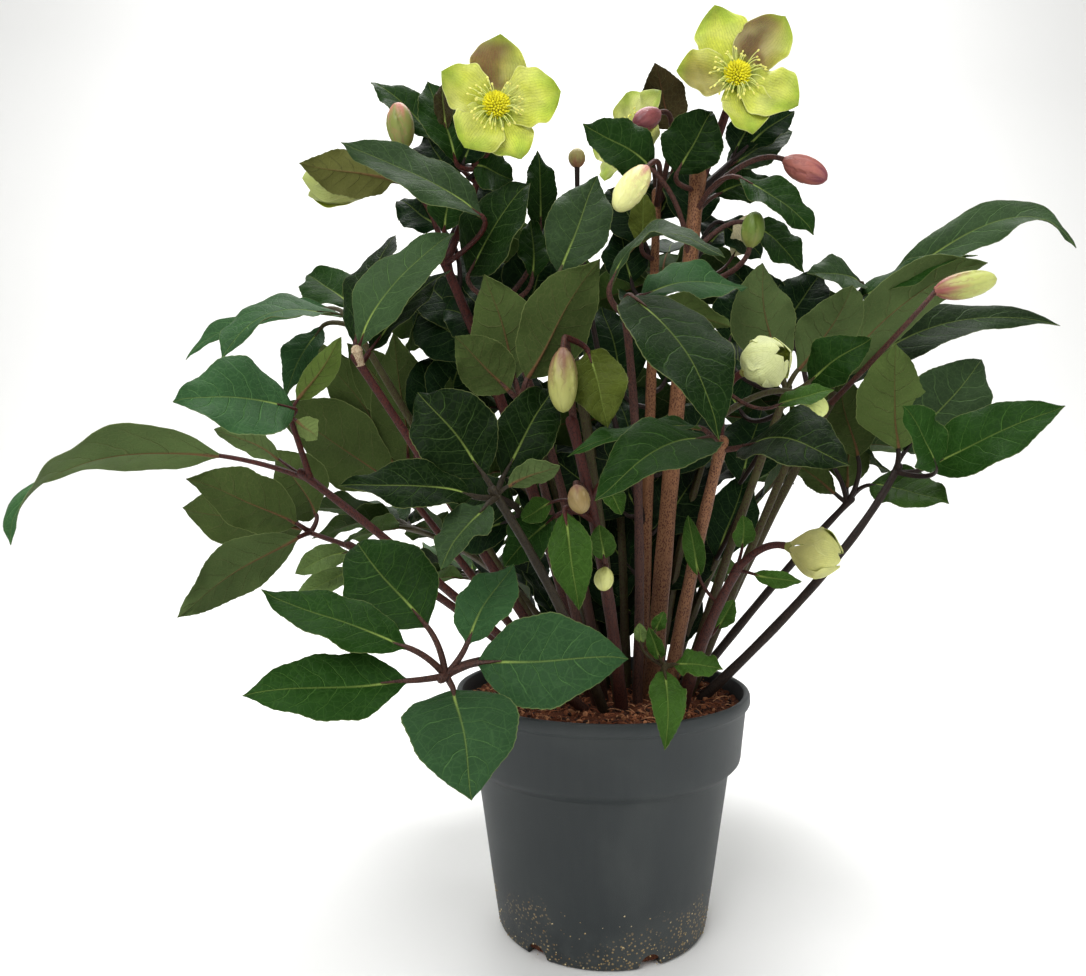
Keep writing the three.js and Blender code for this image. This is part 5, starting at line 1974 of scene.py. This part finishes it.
@dataclass
class Pot:
    """The nursery pot, in millimetres: turned wall, rolled lip, stepped band and drainage notches."""

    height: float = 151.0
    neck: float = 92.5
    band: float = 89.0
    band_height: float = 110.0
    shoulder: float = 82.0
    shoulder_height: float = 103.0
    foot: float = 67.5
    wall: float = 2.0
    floor: float = 3.0
    sides: int = 144
    drain_count: int = 6
    drain_wide: float = 15.0
    drain_high: float = 9.0
    drain_deep: float = 14.0
    drain_inset: float = 4.0
    drain_turn: float = 21.0

    def profile(self) -> list[Pair]:
        """The wall's section, from the middle of the base and back to it.

        Returns:
            Radius and height of each corner.
        """
        h, w = self.height, self.wall
        outside = [
            (0.01, 0.9), (50, 0.9), (58, 0.7), (62, 0.15), (63.5, 0), (65.5, 0.35), (66.8, 1.5), (67.5, 4),
            (69.4, 16), (72.6, 38), (76.4, 65), (79.6, 87), (81.4, 99.5), (81.9, 102.2), (82.6, 103.4),
            (84, 104.4), (87.3, 107.4), (88.6, 108.9), (89.1, 110.8), (89.9, 119), (91.3, 132), (92.3, 141),
            (92.7, 142.6), (93.6, 143.4), (94.5, 143.9), (94.95, 144.9), (95, 147), (94.9, 149),
            (94.3, 150.4), (93.2, h), (92.0, h - 0.05), (91.0, h - 0.7),
        ]
        inside = [
            (self.neck - w - 0.2, 146), (self.band - w, self.band_height + 1),
            (self.shoulder - w, self.shoulder_height), (self.foot - w - 0.5, self.floor + 2),
            (self.foot - w - 2.5, self.floor), (0.01, self.floor),
        ]
        return outside + inside

    def build(self) -> None:
        """Turns the profile, and cuts the drainage notches."""
        skin = Skin()
        skin.turned([ring(radius, height, self.sides) for radius, height in self.profile()], Finish.POT)
        pot = skin.piece("pot_dressed", "pot", "pot", sharp=38)
        self._cut(pot)

    def _cut(self, pot: Object) -> None:
        """Cuts an arched notch at each drain.

        Args:
            pot: the turned pot.
        """
        for i in range(self.drain_count):
            turn = math.radians(self.drain_turn + 360 * i / self.drain_count)
            out = Vector((math.sin(turn), -math.cos(turn), 0))
            lying = (math.pi / 2, 0, turn)
            bpy.ops.mesh.primitive_cylinder_add(vertices=40, radius=1, depth=1, rotation=lying)
            cutter = bpy.context.object
            cutter.scale = (self.drain_wide / 2 * MM, self.drain_high * MM, self.drain_deep * MM)
            cutter.location = out * (self.foot - self.drain_inset) * MM
            notch = pot.modifiers.new("drain", "BOOLEAN")
            notch.object = cutter
            notch.operation = "DIFFERENCE"
            notch.solver = "EXACT"
            bpy.context.view_layer.update()
            with bpy.context.temp_override(object=pot, active_object=pot):
                bpy.ops.object.modifier_apply(modifier=notch.name)
            bpy.data.objects.remove(cutter)


@dataclass
class Soil:
    """Peat and coir in the pot, in millimetres: a rough surface, crumbs and fibres, and grit on the pot."""

    level: float = 145.0
    inner: float = 88.6
    below: tuple[Pair, ...] = ((0.01, 3.4), (64.5, 3.4), (79.4, 104), (86.4, 112))
    rings: int = 60
    sides: int = 160
    crumbs: int = 1900
    crumb_tints: tuple[Colour, ...] = (
        rgb(58, 32, 22), rgb(96, 54, 34), rgb(128, 76, 48), rgb(46, 28, 20), rgb(160, 108, 74),
    )
    fibres: int = 620
    fibre_tints: tuple[Colour, ...] = (rgb(150, 92, 60), rgb(186, 134, 96), rgb(112, 62, 40))
    grains: int = 420
    wall_foot: Pair = (67.5, 4.0)
    wall_slope: float = 0.1465
    grain_tints: tuple[Colour, ...] = (rgb(170, 148, 104), rgb(128, 104, 68), rgb(196, 180, 140))

    def height(self, x: Array, y: Array) -> Array:
        """Height of the surface.

        Args:
            x: place to the right.
            y: place to the back.

        Returns:
            Millimetres over the floor.
        """
        rough = (
            1.1 * np.sin(x * 0.13 + 1.0) * np.cos(y * 0.11)
            + 0.7 * np.sin(x * 0.31 + y * 0.17)
            + 0.5 * np.sin(x * 0.9 + 2 * np.sin(y * 0.7)) * np.cos(y * 1.1)
        )
        edge = smooth(np.hypot(x, y), 74.0, self.inner)
        return self.level - 1.6 + rough - 2.2 * edge

    def build(self) -> None:
        """Builds the soil and what lies on it."""
        self._bed()
        self._litter()
        self._grit()

    def _bed(self) -> None:
        """The rough surface and the plain sides and base below it."""
        rings = [ring(radius, height, self.sides) for radius, height in self.below]
        for share in np.linspace(1, 0.0015, self.rings):
            around = ring(self.inner * share, 0.0, self.sides)
            x, y = around[:, 0], around[:, 1]
            grain = np.sin(x * 12.9 + y * 78.2) * 43758.5453 % 1.0
            around[:, 2] = self.height(x, y) + (grain - 0.5) * 0.9
            rings.append(around)
        skin = Skin()
        skin.turned(rings, Finish.SOIL)
        skin.piece("soil_dressed", "soil", "soil", sharp=180)

    def _litter(self) -> None:
        """Crumbs and coir fibres, scattered evenly over the surface."""
        skin = Skin()
        for i in range(self.crumbs):
            size = 0.5 + 1.5 * chance(i * 3.7) ** 2
            middle = self._spot(1.5, chance(i * 1.31), chance(i * 2.17 + 0.4), size * 0.3)
            lean = heading(360 * chance(i * 0.77), 70 * (chance(i * 5.1) - 0.5))
            path = middle + lean * size * np.array((-1.0, -0.5, 0.4, 1.0))[:, None]
            radii = size * np.array((0.3, 0.8, 0.75, 0.25))
            skin.tube(path, radii, 5, Finish.FIBRE, pick(self.crumb_tints, i * 7.9), lobes=0.2, seed=i)
        for i in range(self.fibres):
            start = self._spot(5, chance(i * 1.93 + 5), chance(i * 2.71 + 2), 0.2)
            run = 3 + 9 * chance(i * 4.3) ** 2
            end = start + heading(360 * chance(i * 1.17), 26 * (chance(i * 6.1) - 0.3)) * run
            end[:2] *= min(1.0, (self.inner - 1.5) / max(np.hypot(*end[:2]), TINY))
            bow = np.array((chance(i + 0.1) - 0.5, chance(i + 0.2) - 0.5, 0.35 + 0.4 * chance(i + 0.3)))
            pull = (start + end) / 2 + bow * run * 0.5
            path = Bend(start, pull, end).point(np.linspace(0, 1, 7))
            radii = np.full(7, 0.16 + 0.2 * chance(i * 8.3))
            skin.tube(path, radii, 4, Finish.FIBRE, pick(self.fibre_tints, i * 9.7))
        skin.piece("soil_litter", "soil")

    def _spot(self, margin: float, far: float, turned: float, lift: float) -> Array:
        """A point above the surface, with two chances from 0 to 1.

        Args:
            margin: distance kept from the wall.
            far: the chance for how far out it is.
            turned: the chance for where round the pot it is.
            lift: height over the surface.

        Returns:
            The point.
        """
        out, turn = (self.inner - margin) * math.sqrt(far), 2 * math.pi * turned
        x, y = out * math.sin(turn), -out * math.cos(turn)
        return np.array((x, y, float(self.height(np.array(x), np.array(y))) + lift))

    def _grit(self) -> None:
        """Sand grains stuck low on the pot's wall."""
        skin = Skin()
        foot, low = self.wall_foot
        for i in range(self.grains):
            turn = 360 * chance(i * 1.37 + 7)
            height = 2 + 34 * chance(i * 2.9 + 1) ** 1.8
            wall = foot + (height - low) * self.wall_slope if height > low else foot - 0.4
            middle = heading(turn, 0) * (wall + 0.1) + np.array((0, 0, height))
            size = 0.22 + 0.36 * chance(i * 5.3) ** 2
            path = middle + heading(turn + 90, 30) * size * np.array((-1.0, -0.4, 0.5, 1.0))[:, None]
            radii = size * np.array((0.4, 0.9, 0.85, 0.3))
            skin.tube(path, radii, 5, Finish.FIBRE, pick(self.grain_tints, i * 3.3))
        skin.piece("pot_sand", "soil")


# ---- studio


@dataclass(frozen=True)
class Lamp:
    """A square soft light, in metres and watts; gloss is its share in shine."""

    name: str
    place: Point
    target: Point
    size: float
    power: float
    gloss: float = 1.0

    def build(self) -> None:
        """Sets up the light, turned to its target."""
        data = bpy.data.lights.new(self.name, "AREA")
        data.size, data.energy, data.specular_factor = self.size, self.power, self.gloss
        lamp = bpy.data.objects.new(self.name, data)
        lamp.location = self.place
        way = Vector(self.target) - Vector(self.place)
        lamp.rotation_euler = way.to_track_quat("-Z", "Y").to_euler()
        bpy.context.scene.collection.objects.link(lamp)


@dataclass(frozen=True)
class Studio:
    """Pale floor that runs up behind, soft lights and the camera, in metres."""

    eye: Point = (-0.0385, -0.543, 0.280)
    lens: float = 27.35
    sensor: float = 36.0
    near: float = 0.01
    front: float = -3.2
    back: float = 1.2
    curve: float = 0.9
    curve_steps: int = 16
    top: float = 3.4
    half_wide: float = 4.5
    paper: tuple[Colour, Colour] = (rgb(246, 246, 245), rgb(240, 240, 239))
    sky: Colour = (1.0, 1.0, 0.98)
    sky_power: float = 0.4
    lamps: tuple[Lamp, ...] = (
        Lamp("key", (-0.9, -1.5, 1.9), (0.0, 0.0, 0.3), 1.4, 42.0),
        Lamp("fill", (1.5, -1.2, 0.9), (0.0, 0.0, 0.3), 1.4, 9.0),
        Lamp("top", (0.1, 0.5, 2.1), (0.0, 0.0, 0.3), 1.6, 34.0, 0.5),
        Lamp("back", (0.0, 0.95, 2.3), (0.0, 2.1, 1.0), 1.2, 24.0),
    )

    def build(self) -> None:
        """Sets up everything that isn't the plant."""
        self._floor()
        self._world()
        for lamp in self.lamps:
            lamp.build()
        self._camera()
        bpy.context.scene.view_settings.view_transform = "Standard"

    def _camera(self) -> None:
        """A level camera that looks to the back."""
        data = bpy.data.cameras.new("camera")
        data.lens, data.sensor_width = self.lens, self.sensor
        data.clip_start = self.near
        camera = bpy.data.objects.new("camera", data)
        camera.location = self.eye
        camera.rotation_euler = (math.pi / 2, 0, 0)
        bpy.context.scene.collection.objects.link(camera)
        bpy.context.scene.camera = camera

    def _floor(self) -> None:
        """A floor that curves up into a backdrop."""
        rise = [(self.front, 0.0), (self.back, 0.0)]
        for i in range(1, self.curve_steps + 1):
            turn = math.pi / 2 * i / self.curve_steps
            rise.append((self.back + self.curve * math.sin(turn), self.curve * (1 - math.cos(turn))))
        rise.append((self.back + self.curve, self.top))
        points = [(x, y, z) for y, z in rise for x in (-self.half_wide, self.half_wide)]
        faces = [(2 * i, 2 * i + 1, 2 * i + 3, 2 * i + 2) for i in range(len(rise) - 1)]
        mesh = bpy.data.meshes.new("floor")
        mesh.from_pydata(points, [], faces)
        mesh.shade_smooth()
        n = Nodes("floor")
        mottle = n.cloud(n.place(), 3.0) * 0.3
        mesh.materials.append(n.finish(n.mix(mottle, *self.paper), 0.7))
        floor = bpy.data.objects.new("floor", mesh)
        bpy.context.scene.collection.objects.link(floor)

    def _world(self) -> None:
        """Even pale light from all round."""
        world = bpy.data.worlds.new("world")
        world.use_nodes = True
        inputs = world.node_tree.nodes["Background"].inputs
        inputs["Color"].default_value = (*self.sky, 1.0)
        inputs["Strength"].default_value = self.sky_power
        bpy.context.scene.world = world


# ---- the whole


def main() -> None:
    """Builds the plant's pieces in order and reports each."""
    logging.basicConfig(level=logging.INFO, format="%(name)s %(message)s")
    Studio().build()
    rows = [*LEAVES, *BackLeaves().rows(), *SHOOTS]
    for index, row in enumerate(rows):
        LeafyPiece(row, index).build()
        for twig in row.twigs:
            if twig.bud:
                BudPiece(twig.bud).build()
    for flower in FLOWERS:
        Sepals(flower).build()
        if flower.opening is Opening.OPEN:
            Stamens(flower).build()
    Pot().build()
    Soil().build()


if __name__ == "__main__":
    main()
